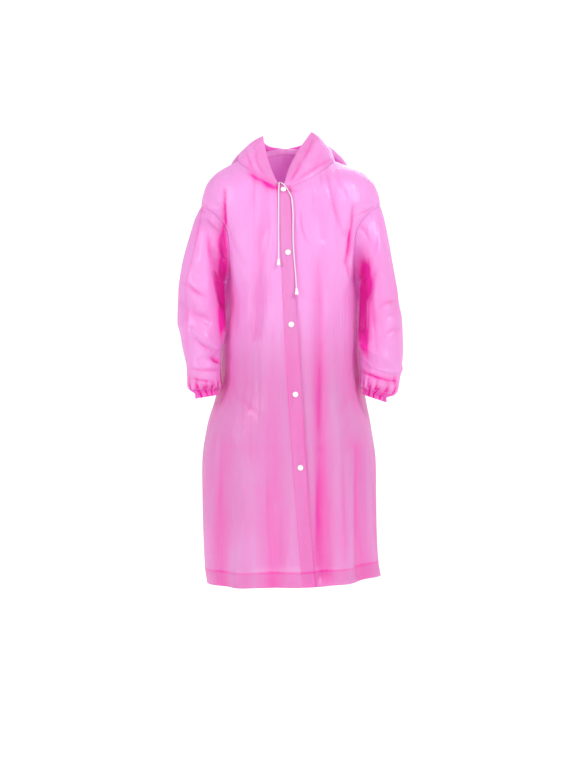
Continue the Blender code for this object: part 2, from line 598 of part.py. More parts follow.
def crease_depth(creases, place, turn, lengths):
    """How far a sleeve's folds push one ring out, at each of its turns. lengths is
    the distance down the sleeve of each ring of its table."""
    down = np.interp(place, np.arange(len(lengths)), lengths)
    depth = np.zeros_like(turn)
    for crease in creases:
        start_down, end_down = np.interp([crease.start_ring, crease.end_ring], np.arange(len(lengths)), lengths)
        run = np.array([end_down - start_down, (crease.end_turn - crease.start_turn) * SLEEVE_GIRTH])
        offset = np.stack([np.full_like(turn, down - start_down), (turn - crease.start_turn) * SLEEVE_GIRTH], axis=1)
        share = np.clip(offset @ run / (run @ run), 0.0, 1.0)
        distance = np.linalg.norm(offset - share[:, None] * run, axis=1)
        depth += crease.depth * np.exp(-(distance / crease.width) ** 2)
    return depth


def armhole_loop(front, back, front_side, back_side):
    """The armhole's edge from the tip of the shoulder down the front, round the armpit
    and up the back. The sides name the panels' first or last column."""
    first = len(SKIRT_ROWS)
    rows = slice(first, first + ARMHOLE_ROWS + 1)
    front_edge = np.array([row[front_side] for row in front.rows[rows]])
    back_edge = np.array([row[back_side] for row in back.rows[rows]])
    return np.vstack([front_edge[::-1], back_edge[1:-1]])


def sleeve_panels(name, cuff_name, rings, creases, loop):
    """A sleeve from its armhole to the gathered ring, and the elastic cuff below it."""
    centres = [loop.mean(axis=0)] + [[(r.x_out + r.x_in) / 2, (r.y_front + r.y_back) / 2, (r.z_out + r.z_in) / 2]
                                     for r in rings]
    lengths = path_lengths(np.array(centres))
    cap = ring_points(rings, 1.0, SLEEVE_COLUMNS)
    rows = [loop]
    places = np.arange(1, SLEEVE_END * SLEEVE_STEPS + 1) / SLEEVE_STEPS
    for place in places:
        columns = SLEEVE_COLUMNS * 2 if place > GATHER_START else SLEEVE_COLUMNS
        if place < 1.0:
            leaving = ring_points(rings, 1.0, columns) - (ring_points(rings, 1.5, columns) - cap)
            points = (loop + cap) / 2.0 * 0.75 + (loop + leaving) / 2.0 * 0.25
        else:
            points = ring_points(rings, place, columns)
        turn = np.arange(columns) / columns
        outward = unit(points - points.mean(axis=0))
        points = points + outward * crease_depth(creases, place, turn, lengths)[:, None]
        rows.append(points)
    cuff_rows = [rows[-1]] + [ring_points(rings, place, SLEEVE_COLUMNS * 2)
                              for place in range(SLEEVE_END + 1, len(rings) + 1)]
    way = 1 if rings[0].x_out < 0.0 else -1
    upward = [row[way * np.arange(len(row))] for row in rows[::-1]]
    cuff_upward = [row[way * np.arange(len(row))] for row in cuff_rows[::-1]]
    return Panel(name, upward, closed=True), Panel(cuff_name, cuff_upward, closed=True)


# ================================================================ hood

def pouch_path(angle):
    """One column of the fallen hood behind the neck, measured off the back panel."""
    degrees = abs(math.degrees(angle))
    full = smoothstep(POUCH_SIDE_DEG, POUCH_FULL_DEG, degrees)
    depth = POUCH_DEPTH_SIDE + (POUCH_DEPTH_BACK - POUCH_DEPTH_SIDE) * full
    lift_scale = 0.45 + 0.55 * full
    rows = np.array([NECK - point.drop * depth for point in POUCH])
    lift = np.array([point.lift for point in POUCH]) * lift_scale
    rise = np.array([point.rise for point in POUCH])
    base = body_point(rows, angle) + body_normal(rows, np.full(len(rows), angle)) * lift[:, None]
    base[:, 2] += rise
    return base


def hood_columns(seam, angles, rim):
    """Fine paths from the neck seam to the rim, one for each column."""
    along = path_lengths(seam)
    share = along / along[-1]
    places = np.array([[point.x, point.y, point.z] for point in rim])
    edge = monotone_curve([point.share for point in rim], places, share)
    paths = []
    for start, end, angle in zip(seam, edge, angles):
        steps = np.linspace(0.0, 1.0, HOOD_PATH_STEPS + 1)[:, None]
        outward = unit(np.array([math.sin(angle), -math.cos(angle), HOOD_LEAN]))
        length = np.linalg.norm(end - start)
        crown = 4.0 * steps * (1.0 - steps) * min(HOOD_BULGE, HOOD_BULGE_SHARE * length)
        direct = start + (end - start) * steps + outward * crown
        pouch = pouch_path(angle)
        pouch = smooth_path(pouch + (start - pouch[0]), HOOD_PATH_STEPS + 1)
        pouch = pouch + (end - pouch[-1]) * smoothstep(0.5, 1.0, steps)
        blend = smoothstep(STANDING_DEG, FALLEN_DEG, abs(math.degrees(angle)))
        paths.append(direct * (1.0 - blend) + pouch * blend)
    return paths


def hood_panel(name, seam, angles, rim):
    """Half of the hood. Its seam and angles run from the throat to the centre back."""
    rows = []
    for path in hood_columns(seam, angles, rim):
        total = path_lengths(path)[-1]
        casing = min(CASING_WIDTH, CASING_SHARE * total)
        lengths = np.concatenate([np.linspace(0.0, total - casing, HOOD_ROWS + 1), [total - casing / 2.0, total]])
        rows.append(spaced(path, lengths))
    grid = np.stack(rows, axis=1)
    if angles[-1] < 0.0:
        grid = grid[:, ::-1]
    return Panel(name, list(grid))


def hood_panels(front_right, front_left, back):
    """Both halves of the hood, standing on the top rows of the body's panels."""
    top = float(NECK)
    band = band_angles(np.array([top]))[0]
    share = np.linspace(0.0, 1.0, FRONT_COLUMNS + 1)
    right_angles = -(math.pi / 2.0) + (band[0] + math.pi / 2.0) * share
    left_angles = band[2] + (math.pi / 2.0 - band[2]) * share
    middle = BACK_COLUMNS // 2
    quarter = math.pi / 2.0 + math.pi / 2.0 * np.linspace(0.0, 1.0, middle + 1)
    back_top = back.rows[-1]
    right_seam = np.vstack([front_right.rows[-1][FRONT_COLUMNS::-1], back_top[:middle - 1:-1][1:]])
    left_seam = np.vstack([front_left.rows[-1][1:], back_top[1:middle + 1]])
    right = hood_panel("hood_right", right_seam,
                       np.concatenate([right_angles[::-1], -quarter[1:]]), RIGHT_RIM)
    left = hood_panel("hood_left", left_seam,
                      np.concatenate([[band[1]], left_angles, quarter[1:]]), LEFT_RIM)
    return right, left


def casing_strip(name, hood, columns):
    """The strip inside the hood's edge that holds the drawcord against it."""
    tunnel = WALL + CORD_DIAMETER + 2.0 * CORD_CLEAR
    layers = np.array([LAYER, tunnel, LAYER])[:, None]
    return strip_from(name, hood, slice(-3, None), columns, layers,
                      (4.0 * CASING_TRIM, CASING_TRIM, CASING_TRIM, CASING_TRIM))


def casing_cord_path(hood_right, hood_left, trim):
    """Route of the drawcord in the casing, from the right throat round the back to the
    left throat. trim is the number of columns that it stops short of each throat."""
    depth = WALL / 2.0 + CORD_CLEAR + CORD_DIAMETER / 2.0
    routes = []
    for hood in (hood_right, hood_left):
        points, offsets = hood.grid(hood.points)[-2], hood.grid(hood.offsets)[-2]
        routes.append(points - offsets * depth)
    right, left = routes[0][::-1][trim:], routes[1][trim:]
    centre = (right[-1] + left[-1]) / 2.0
    return np.vstack([right[:-1], [centre], left[:-1][::-1]])


# ================================================================ objects

def material(name, colour, roughness, alpha=1.0):
    """A plain Principled material."""
    made = bpy.data.materials.new(name)
    made.use_nodes = True
    shader = made.node_tree.nodes["Principled BSDF"]
    shader.inputs["Base Color"].default_value = (*colour, 1.0)
    shader.inputs["Roughness"].default_value = roughness
    shader.inputs["Metallic"].default_value = 0.0
    shader.inputs["Alpha"].default_value = alpha
    return made


def add_object(name, data, made_material, parent):
    """Put a mesh or curve into the scene under the coat's own empty."""
    thing = bpy.data.objects.new(name, data)
    bpy.context.scene.collection.objects.link(thing)
    if not data.materials:
        data.materials.append(made_material)
    thing.parent = parent
    return thing


def add_shell(panel, made_material, parent):
    """Give a panel its wall: outer and inner skins with the same diagonals, and rims
    whose diagonals run the same way on both sides of a seam."""
    half = panel.offsets * WALL / 2.0
    vertices = np.vstack([panel.points + half, panel.points - half])
    count = len(panel.points)
    faces = [tuple(map(int, triangle)) for triangle in panel.triangles]
    inner = [(a + count, c + count, b + count) for a, b, c in faces]
    used = {}
    for a, b, c in faces:
        for edge in ((a, b), (b, c), (c, a)):
            used[edge] = True
    height = panel.points @ SLANT
    rims = []
    for a, b in used:
        if (b, a) in used:
            continue
        if height[a] < height[b]:
            rims += [(b, a, a + count), (b, a + count, b + count)]
        else:
            rims += [(b, a, b + count), (a, a + count, b + count)]
    mesh = bpy.data.meshes.new(panel.name)
    mesh.from_pydata([tuple(vertex) for vertex in vertices], [], faces + inner + rims)
    mesh.validate()
    return add_object(panel.name, mesh, made_material, parent)


def turned_mesh(name, profile, segments):
    """A solid of revolution about Z from (radius, height) pairs, bottom first, with
    its first and last pair on the axis."""
    mesh = bpy.data.meshes.new(name)
    shape = bmesh.new()
    rings = []
    for radius, height in profile[1:-1]:
        turn = np.arange(segments) / segments * 2.0 * math.pi
        rings.append([shape.verts.new((radius * math.cos(t), radius * math.sin(t), height)) for t in turn])
    bottom, top = shape.verts.new((0.0, 0.0, profile[0][1])), shape.verts.new((0.0, 0.0, profile[-1][1]))
    for side in range(segments):
        after = (side + 1) % segments
        shape.faces.new((bottom, rings[0][after], rings[0][side]))
        shape.faces.new((top, rings[-1][side], rings[-1][after]))
        for low, high in zip(rings[:-1], rings[1:]):
            shape.faces.new((low[side], low[after], high[after], high[side]))
    shape.to_mesh(mesh)
    shape.free()
    mesh.shade_smooth()
    mesh.set_sharp_from_angle(angle=math.radians(40.0))
    return mesh


def front_place(x, z):
    """Row and angle of the front's surface at x and z."""
    rows = np.linspace(0.0, NECK, 1200)
    angles = angle_at_x(rows, x)
    heights = body_point(rows, angles)[:, 2]
    row = np.interp(z, heights, rows)
    return row, float(angle_at_x(row, x))


def front_spot(x, z):
    """Point and outward direction of the front's surface at x and z."""
    row, angle = front_place(x, z)
    return body_point(row, angle), body_normal(row, angle)


def place_on_front(thing, x, z, lift):
    """Stand an object's Z axis out of the front, lifted off its middle surface."""
    point, outward = front_spot(x, z)
    thing.location = Vector(point + outward * lift)
    thing.rotation_euler = Vector(outward).to_track_quat("Z", "Y").to_euler()


def add_snaps(plastic, parent):
    """Snap caps on the band and their sockets behind it."""
    cap = turned_mesh("snap_cap", [(0.0, 0.0), (SNAP_RADIUS * 0.93, 0.0), (SNAP_RADIUS, 0.0006),
                                   (SNAP_RADIUS, 0.0013), (SNAP_RADIUS * 0.82, 0.0021),
                                   (SNAP_RADIUS * 0.5, 0.0024), (0.0, 0.0025)], 16)
    socket = turned_mesh("snap_socket", [(0.0, 0.0), (SOCKET_RADIUS, 0.0), (SOCKET_RADIUS, 0.0010),
                                         (SOCKET_RADIUS * 0.7, 0.0016), (0.0, 0.0016)], 14)
    behind = 3.0 * LAYER + WALL / 2.0 + SOCKET_STAND
    for snap in SNAPS:
        place_on_front(add_object(f"snap_cap_{snap.number}", cap, plastic, parent),
                       snap.x, snap.z, WALL / 2.0 + GAP)
        back_half = add_object(f"snap_socket_{snap.number}", socket, plastic, parent)
        place_on_front(back_half, snap.x, snap.z, -behind)
        back_half.rotation_euler.rotate_axis("X", math.pi)


def add_tube(name, path, made_material, parent):
    """A cord along a path, with closed ends."""
    curve = bpy.data.curves.new(name, "CURVE")
    curve.dimensions = "3D"
    curve.bevel_depth = CORD_DIAMETER / 2.0
    curve.bevel_resolution = 2
    curve.use_fill_caps = True
    spline = curve.splines.new("POLY")
    spline.points.add(len(path) - 1)
    for point, place in zip(spline.points, path):
        point.co = (*place, 1.0)
    return add_object(name, curve, made_material, parent)


def free_cord_path(casing_end, throat, lays):
    """Route of a free end: straight out of the casing's cord, given by its last two
    points, round the hood's corner and down the front."""
    leaving = unit(casing_end[1] - casing_end[0])
    start = casing_end[1] + leaving * GAP
    points = [start + leaving * CORD_DIAMETER, *throat]
    for lay in lays:
        point, outward = front_spot(lay.x, lay.z)
        points.append(point + outward * (WALL / 2.0 + lay.lift + CORD_DIAMETER / 2.0))
    length = path_lengths(np.array(points))[-1]
    return np.vstack([start, smooth_path(points, round(length / (CORD_PITCH * CORD_DIAMETER)))])


def add_cord_end(name, path, plastic, parent):
    """The moulded end that hangs on the cord, in line with its last stretch."""
    narrow = CORD_END_RADIUS * CORD_END_NARROW
    mesh = turned_mesh(name, [(0.0, 0.0), (narrow * 0.85, 0.0), (narrow, 0.0008),
                              (CORD_END_RADIUS, CORD_END_LENGTH * 0.72),
                              (CORD_END_RADIUS * 0.93, CORD_END_LENGTH * 0.92),
                              (CORD_END_RADIUS * 0.70, CORD_END_LENGTH), (0.0, CORD_END_LENGTH)], 12)
    thing = add_object(name, mesh, plastic, parent)
    down = Vector(unit(path[-1] - path[-2]))
    thing.location = Vector(path[-1]) + down * GAP
    thing.rotation_euler = down.to_track_quat("Z", "Y").to_euler()


# ================================================================ the coat

def main():
    """Build every piece of the coat."""
    for thing in list(bpy.data.objects):
        bpy.data.objects.remove(thing)
    coat = bpy.data.objects.new("raincoat", None)
    bpy.context.scene.collection.objects.link(coat)
    film = material("frosted_film", (0.95, 0.36, 0.70), 0.35, 0.6)
    film_doubled = material("doubled_film", (0.93, 0.25, 0.60), 0.35, 0.8)
    plastic = material("white_plastic", (0.88, 0.87, 0.87), 0.3)
    braid = material("white_braid", (0.90, 0.89, 0.88), 0.7)

    front_right, front_left, back = body_panels()
    right_loop = armhole_loop(front_right, back, 0, -1)
    left_loop = armhole_loop(front_left, back, -1, 0)
    sleeve_right, cuff_right = sleeve_panels("sleeve_right", "cuff_right", RIGHT_SLEEVE, RIGHT_CREASES, right_loop)
    sleeve_left, cuff_left = sleeve_panels("sleeve_left", "cuff_left", LEFT_SLEEVE, LEFT_CREASES, left_loop)
    hood_right, hood_left = hood_panels(front_right, front_left, back)
    cloth = [front_right, front_left, back, sleeve_right, sleeve_left, hood_right, hood_left]
    cuffs = [cuff_right, cuff_left]
    weld_offsets(cloth + cuffs)
    for panel in cloth:
        add_shell(panel, film, coat)
    for panel in cuffs:
        add_shell(panel, film_doubled, coat)

    every, hem = slice(None), slice(0, HEM_TOP_ROW + 1)
    hem_trim = (0.0, 0.0, STRIP_TRIM, STRIP_TRIM)
    facing_trim = (0.0, TOP_TRIM, 0.0, 0.0)
    strips = [
        strip_from("placket_right", front_right, every, slice(FRONT_COLUMNS, None), LAYER, facing_trim),
        strip_from("placket_left", front_left, every, slice(0, PLACKET_COLUMNS), LAYER, facing_trim),
        strip_from("hem_right", front_right, hem, slice(0, FRONT_COLUMNS), LAYER, hem_trim),
        strip_from("hem_left", front_left, hem, slice(PLACKET_COLUMNS, None), LAYER, hem_trim),
        strip_from("hem_back", back, hem, every, LAYER, hem_trim),
        casing_strip("hood_casing_right", hood_right, slice(0, -2)),
        casing_strip("hood_casing_left", hood_left, slice(2, None)),
    ]
    for strip in strips:
        add_shell(strip, film_doubled, coat)

    add_snaps(plastic, coat)
    casing_route = casing_cord_path(hood_right, hood_left, 2)
    add_tube("drawcord_casing", casing_route, braid, coat)
    routes = [("right", free_cord_path(casing_route[1::-1], RIGHT_THROAT, RIGHT_CORD)),
              ("left", free_cord_path(casing_route[-2:], LEFT_THROAT, LEFT_CORD))]
    for side, route in routes:
        add_tube(f"drawcord_{side}", route, braid, coat)
        add_cord_end(f"cord_end_{side}", route, plastic, coat)


main()
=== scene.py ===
"""Looks of a knee-length hooded raincoat in frosted pink film, hanging as it is worn.

Metres, +Z up, the front towards -Y. Right and left are the coat's own: its right
side is at -X. Every cloth piece is a grid of points, a function of two parameters,
made a thin shell and dressed in a film that lets part of the light through.
"""
import logging
import math
from dataclasses import astuple, dataclass, field, replace
from enum import Enum

import bpy
import numpy as np
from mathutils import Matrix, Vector


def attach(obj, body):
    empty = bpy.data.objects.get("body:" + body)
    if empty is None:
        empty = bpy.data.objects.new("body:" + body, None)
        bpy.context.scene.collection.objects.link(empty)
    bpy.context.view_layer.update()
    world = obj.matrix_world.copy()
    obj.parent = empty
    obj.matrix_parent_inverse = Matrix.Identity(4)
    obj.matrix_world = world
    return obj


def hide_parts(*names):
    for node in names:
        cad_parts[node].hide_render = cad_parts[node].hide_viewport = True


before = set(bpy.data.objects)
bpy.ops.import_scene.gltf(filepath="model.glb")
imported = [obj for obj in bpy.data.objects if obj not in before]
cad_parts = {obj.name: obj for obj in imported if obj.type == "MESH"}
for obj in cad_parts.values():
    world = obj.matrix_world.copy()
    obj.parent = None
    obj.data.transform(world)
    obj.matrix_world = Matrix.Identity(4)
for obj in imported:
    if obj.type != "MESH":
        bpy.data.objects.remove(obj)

Array = np.ndarray
Piece = bpy.types.Object
Material = bpy.types.Material
LOG = logging.getLogger("raincoat")
BODY = "root"

# ==== sizes of the coat

LAYER = 0.0015           # step from one layer of film to the next one behind it
LAP = 0.0033             # depth of the left front below the right one in the band
BAND_HALF = 0.018        # half the width of the snap band
CASING_WIDTH = 0.028     # hood edge casing that the drawcord runs in
CASING_BELLY = 0.0039    # how far the cord pushes the casing's inner strip in
CORD_RADIUS = 0.0015
FILM = 0.0005            # thickness of the film as it is shown
HEM_TOP = 1.0            # level of the hem's stitched edge
DEGREE_LENGTH = 0.003    # length of one degree of bearing round the body
SLEEVE_GIRTH = 0.36      # length that one turn of a sleeve stands for
VIEW_DISTANCE = 3.7
VIEW_X, VIEW_Z = -0.0117, -0.588

ARMHOLE_HALF_ANGLE = math.radians(27.0)
ARMPIT, TIP, NECK = 10, 13, 16   # levels of the body's table

# Tones of the film, from 0, light, to 1, deep.
# The three tones below are painted shade: on the skirt below the hips, in the hollows of the body's folds and on the
# body's sides beside the sleeves.
SKIRT_SHADE = 0.22        # the skirt below the hips
FOLD_SHADE = 0.32         # the hollow of a fold that is FULL_FOLD deep
FULL_FOLD = 0.012
BESIDE_SHADE = 0.34       # the body's sides beside the sleeves
HEM_TONE, HEM_LINE_TONE = 0.10, 0.35
BAND_TONE, BAND_LINE_TONE = 0.17, 0.25
FACING_TONE = 0.15
SLEEVE_TONE, GATHER_TONE, CUFF_TONE = 0.05, 0.20, 0.30
HOOD_TONE, CASING_TONE = 0.08, 0.10


class Side(Enum):
    """Which side of the coat a piece belongs to."""

    RIGHT = -1
    LEFT = 1

    @property
    def word(self) -> str:
        """The side's name as it stands in the names of pieces."""
        return self.name.lower()


class Slot(Enum):
    """Material slots of the record."""

    FILM = "frosted_film"
    DOUBLED = "doubled_film"
    PLASTIC = "white_plastic"
    BRAID = "white_braid"


# ==== curves


def smoothstep(low: float, high: float, value: Array) -> Array:
    """Rise from 0 at low to 1 at high: 3s^2 - 2s^3 of the clipped share s."""
    share = np.clip((np.asarray(value, float) - low) / (high - low), 0.0, 1.0)
    return share * share * (3.0 - 2.0 * share)


def unit(vectors: Array) -> Array:
    """Vectors scaled to length 1."""
    return vectors / np.maximum(np.linalg.norm(vectors, axis=-1, keepdims=True), 1e-12)


def monotone_curve(knots: Array, values: Array, at: Array) -> Array:
    """Cubic Hermite through values at knots, with harmonic-mean tangents.

    A tangent is 2ab / (a + b) of the slopes a and b on its two sides, or 0 where
    they differ in sign, so the curve never overshoots between two values.

    Args:
        knots: rising places of the values.
        values: one row of columns for each knot.
        at: places to read.

    Returns:
        The columns at each place.
    """
    knots, values, at = np.asarray(knots, float), np.asarray(values, float), np.asarray(at, float)
    steps = np.diff(knots)
    slopes = np.diff(values, axis=0) / steps[:, None]
    before, after = slopes[:-1], slopes[1:]
    same = before * after > 0.0
    tangents = np.zeros_like(values)
    tangents[1:-1] = np.where(same, 2.0 * before * after / np.where(same, before + after, 1.0), 0.0)
    tangents[0], tangents[-1] = slopes[0], slopes[-1]
    cell = np.clip(np.searchsorted(knots, at, side="right") - 1, 0, len(knots) - 2)
    width = steps[cell][..., None]
    share = (at - knots[cell])[..., None] / width
    square, cube = share ** 2, share ** 3
    return ((2 * cube - 3 * square + 1) * values[cell] + (cube - 2 * square + share) * width * tangents[cell]
            + (3 * square - 2 * cube) * values[cell + 1] + (cube - square) * width * tangents[cell + 1])


def path_lengths(points: Array) -> Array:
    """Length along a path up to each of its points."""
    return np.concatenate([[0.0], np.cumsum(np.linalg.norm(np.diff(points, axis=0), axis=1))])


def spaced(points: Array, lengths: Array) -> Array:
    """The places on a path at the given lengths from its start."""
    along = path_lengths(points)
    return np.stack([np.interp(lengths, along, points[:, axis]) for axis in range(3)], axis=1)


def smooth_path(points: Array, count: int, fine: int = 24) -> Array:
    """A Catmull-Rom curve through points, read at count even steps of its length.

    On each stretch from p1 to p2 the curve is half of 2 p1 + (p2 - p0) s
    + (2 p0 - 5 p1 + 4 p2 - p3) s^2 + (3 p1 - p0 - 3 p2 + p3) s^3.

    Args:
        points: the points that it passes through.
        count: how many places to read.
        fine: steps of the curve between two points.

    Returns:
        The places.
    """
    points = np.asarray(points, float)
    padded = np.vstack([2 * points[0] - points[1], points, 2 * points[-1] - points[-2]])
    p0, p1, p2, p3 = (padded[start:len(padded) - 3 + start, None] for start in range(4))
    s = np.linspace(0.0, 1.0, fine, endpoint=False)[None, :, None]
    curve = 0.5 * (2 * p1 + (p2 - p0) * s + (2 * p0 - 5 * p1 + 4 * p2 - p3) * s ** 2
                   + (3 * p1 - p0 - 3 * p2 + p3) * s ** 3)
    curve = np.vstack([curve.reshape(-1, 3), points[-1:]])
    return spaced(curve, np.linspace(0.0, path_lengths(curve)[-1], count))


def edge_dense(count: int, margin: float = 0.008) -> Array:
    """Shares from 0 to 1 with two close steps at each end, for crisp seams."""
    return np.concatenate([[0.0, margin / 2], np.linspace(margin, 1.0 - margin, count - 3),
                           [1.0 - margin / 2, 1.0]])


# ==== tables of the cut


@dataclass(frozen=True)
class Level:
    """One closed ring round the body: heights, depths, half widths and squareness."""

    name: str
    z_front: float
    z_right: float
    z_left: float
    z_back: float
    y_front: float
    y_back: float
    y_wide: float
    half_right: float
    half_left: float
    centre: float
    close: float
    power: float


@dataclass(frozen=True)
class Fold:
    """A ridge (depth above 0) or trough of the body between two bearings and heights."""

    name: str
    top_deg: float
    top_z: float
    top_depth: float
    bottom_deg: float
    bottom_z: float
    bottom_depth: float
    width_deg: float


@dataclass(frozen=True)
class Ring:
    """A ring of a sleeve: outer and inner edge, front and back, height of the gathers."""

    name: str
    x_out: float
    z_out: float
    x_in: float
    z_in: float
    y_front: float
    y_back: float
    gather: float


@dataclass(frozen=True)
class SleeveFold:
    """A fold of a sleeve from one ring and turn to another."""

    name: str
    start_ring: float
    start_turn: float
    end_ring: float
    end_turn: float
    depth: float
    width: float


@dataclass(frozen=True)
class Rim:
    """A point of the hood's face edge over a share of its half of the neck seam."""

    name: str
    share: float
    x: float
    y: float
    z: float


@dataclass(frozen=True)
class Pouch:
    """A point of the fallen hood: share of its drop, lift off the back and rise."""

    name: str
    drop: float
    lift: float
    rise: float


@dataclass(frozen=True)
class Crease:
    """A crease placed on the front or back, as seen in that view, in millimetres.

    x and z run from its start to its end in the plane y = 0, bow is how far its
    middle stands to the side, and tone how much painted shade deepens the film's colour along it; a tone below 0 is a
    painted highlight.
    """

    name: str
    x0: float
    z0: float
    x1: float
    z1: float
    bow: float
    depth: float
    width: float
    tone: float


def mirrored(creases: list[Crease]) -> list[Crease]:
    """The same creases on the coat's other side: x and bow change sign."""
    return [replace(crease, x0=-crease.x0, x1=-crease.x1, bow=-crease.bow) for crease in creases]


LEVELS = [
    Level("hem", -1.094, -1.1, -1.077, -1.085, -0.175, 0.165, 0.0, 0.222, 0.228, 0.0, 0.043, 2.3),
    Level("hem_top", -1.058, -1.064, -1.041, -1.049, -0.174, 0.164, 0.0, 0.227, 0.222, 0.0, 0.0405, 2.3),
    Level("calf", -0.95, -0.952, -0.946, -0.947, -0.172, 0.162, 0.0, 0.232, 0.218, 0.0, 0.03, 2.3),
    Level("knee", -0.8, -0.8, -0.8, -0.8, -0.168, 0.16, 0.01, 0.235, 0.217, 0.0, 0.019, 2.2),
    Level("thigh", -0.7, -0.7, -0.7, -0.7, -0.166, 0.157, 0.04, 0.224, 0.206, 0.0, 0.012, 2.1),
    Level("hip", -0.62, -0.62, -0.62, -0.62, -0.164, 0.154, 0.08, 0.203, 0.193, 0.0, 0.0065, 2.0),
    Level("belly", -0.56, -0.56, -0.56, -0.56, -0.163, 0.152, 0.098, 0.194, 0.187, 0.0, 0.003, 2.0),
    Level("waist", -0.5, -0.5, -0.5, -0.5, -0.162, 0.15, 0.1, 0.194, 0.183, 0.0, -0.0005, 2.0),
    Level("ribs", -0.385, -0.385, -0.385, -0.385, -0.158, 0.148, 0.095, 0.179, 0.178, 0.0, -0.007, 2.0),
    Level("underarm", -0.345, -0.345, -0.345, -0.345, -0.1545, 0.1465, 0.08, 0.175, 0.174, 0.0, -0.0086, 2.1),
    Level("armpit", -0.315, -0.315, -0.315, -0.315, -0.15, 0.144, 0.045, 0.163, 0.16, 0.0, -0.01, 2.5),
    Level("mid_arm", -0.215, -0.205, -0.205, -0.2, -0.139, 0.137, 0.01, 0.173, 0.169, 0.0, -0.015, 2.8),
    Level("high_arm", -0.165, -0.158, -0.158, -0.14, -0.1345, 0.131, 0.009, 0.204, 0.198, 0.0, -0.0185, 2.8),
    Level("tip", -0.138, -0.124, -0.122, -0.095, -0.1315, 0.122, 0.008, 0.236, 0.227, 0.0, -0.0208, 2.8),
    Level("shoulder_edge", -0.126, -0.078, -0.078, -0.062, -0.129, 0.1135, 0.004, 0.221, 0.219, -0.004, -0.0215, 2.8),
    Level("shoulder", -0.11, -0.045, -0.045, -0.025, -0.125, 0.101, 0.0, 0.19, 0.199, -0.01, -0.0225, 2.6),
    Level("neck", -0.088, -0.011, -0.011, 0.02, -0.114, 0.078, -0.005, 0.127, 0.127, -0.017, -0.024, 2.3),
]

BODY_FOLDS = [
    Fold("hem_corner_ridge", -36.0, -0.8, 0.002, -39.0, -1.1, 0.017, 8.0),
    Fold("right_skirt_trough", -55.0, -0.75, -0.004, -57.0, -1.1, -0.01, 8.0),
    Fold("right_band_trough", -15.0, -0.55, -0.003, -14.0, -1.1, -0.008, 7.0),
    Fold("right_chest_trough", -29.0, -0.2, -0.004, -38.0, -0.46, -0.008, 8.0),
    Fold("long_left_trough", 25.0, -0.28, -0.004, 26.0, -1.06, -0.014, 7.0),
    Fold("left_skirt_ridge", 38.0, -0.5, 0.002, 41.0, -1.08, 0.012, 7.0),
    Fold("left_side_trough", 57.0, -0.74, -0.005, 58.0, -1.08, -0.01, 7.0),
    Fold("left_side_ridge", 72.0, -0.8, 0.002, 73.0, -1.08, 0.006, 7.0),
    Fold("right_shoulder_drag", -58.0, -0.15, 0.004, -58.0, -0.32, 0.012, 10.0),
    Fold("left_shoulder_drag", 58.0, -0.15, 0.004, 58.0, -0.32, 0.012, 10.0),
    Fold("back_left_ridge", 118.0, -0.7, 0.003, 116.0, -1.09, 0.014, 9.0),
    Fold("back_left_trough", 137.0, -0.4, -0.005, 137.0, -1.09, -0.013, 9.0),
    Fold("back_left_inner_ridge", 156.0, -0.4, 0.004, 157.0, -1.09, 0.013, 9.0),
    Fold("back_centre_trough", 177.0, -0.42, -0.004, 176.0, -1.09, -0.012, 9.0),
    Fold("back_right_inner_ridge", 198.0, -0.4, 0.004, 197.0, -1.09, 0.014, 9.0),
    Fold("back_right_trough", 219.0, -0.4, -0.005, 219.0, -1.09, -0.013, 9.0),
    Fold("back_right_ridge", 241.0, -0.7, 0.003, 243.0, -1.09, 0.014, 9.0),
    Fold("yoke_left_dent", 24.0, -0.13, -0.004, 30.0, -0.22, -0.003, 6.0),
    Fold("yoke_right_dent", -24.0, -0.12, -0.004, -25.0, -0.2, -0.003, 6.0),
    Fold("armpit_fullness_right", -105.0, -0.328, 0.012, -118.0, -0.45, 0.007, 10.0),
    Fold("armpit_fullness_left", 105.0, -0.328, 0.012, 118.0, -0.45, 0.007, 10.0),
]

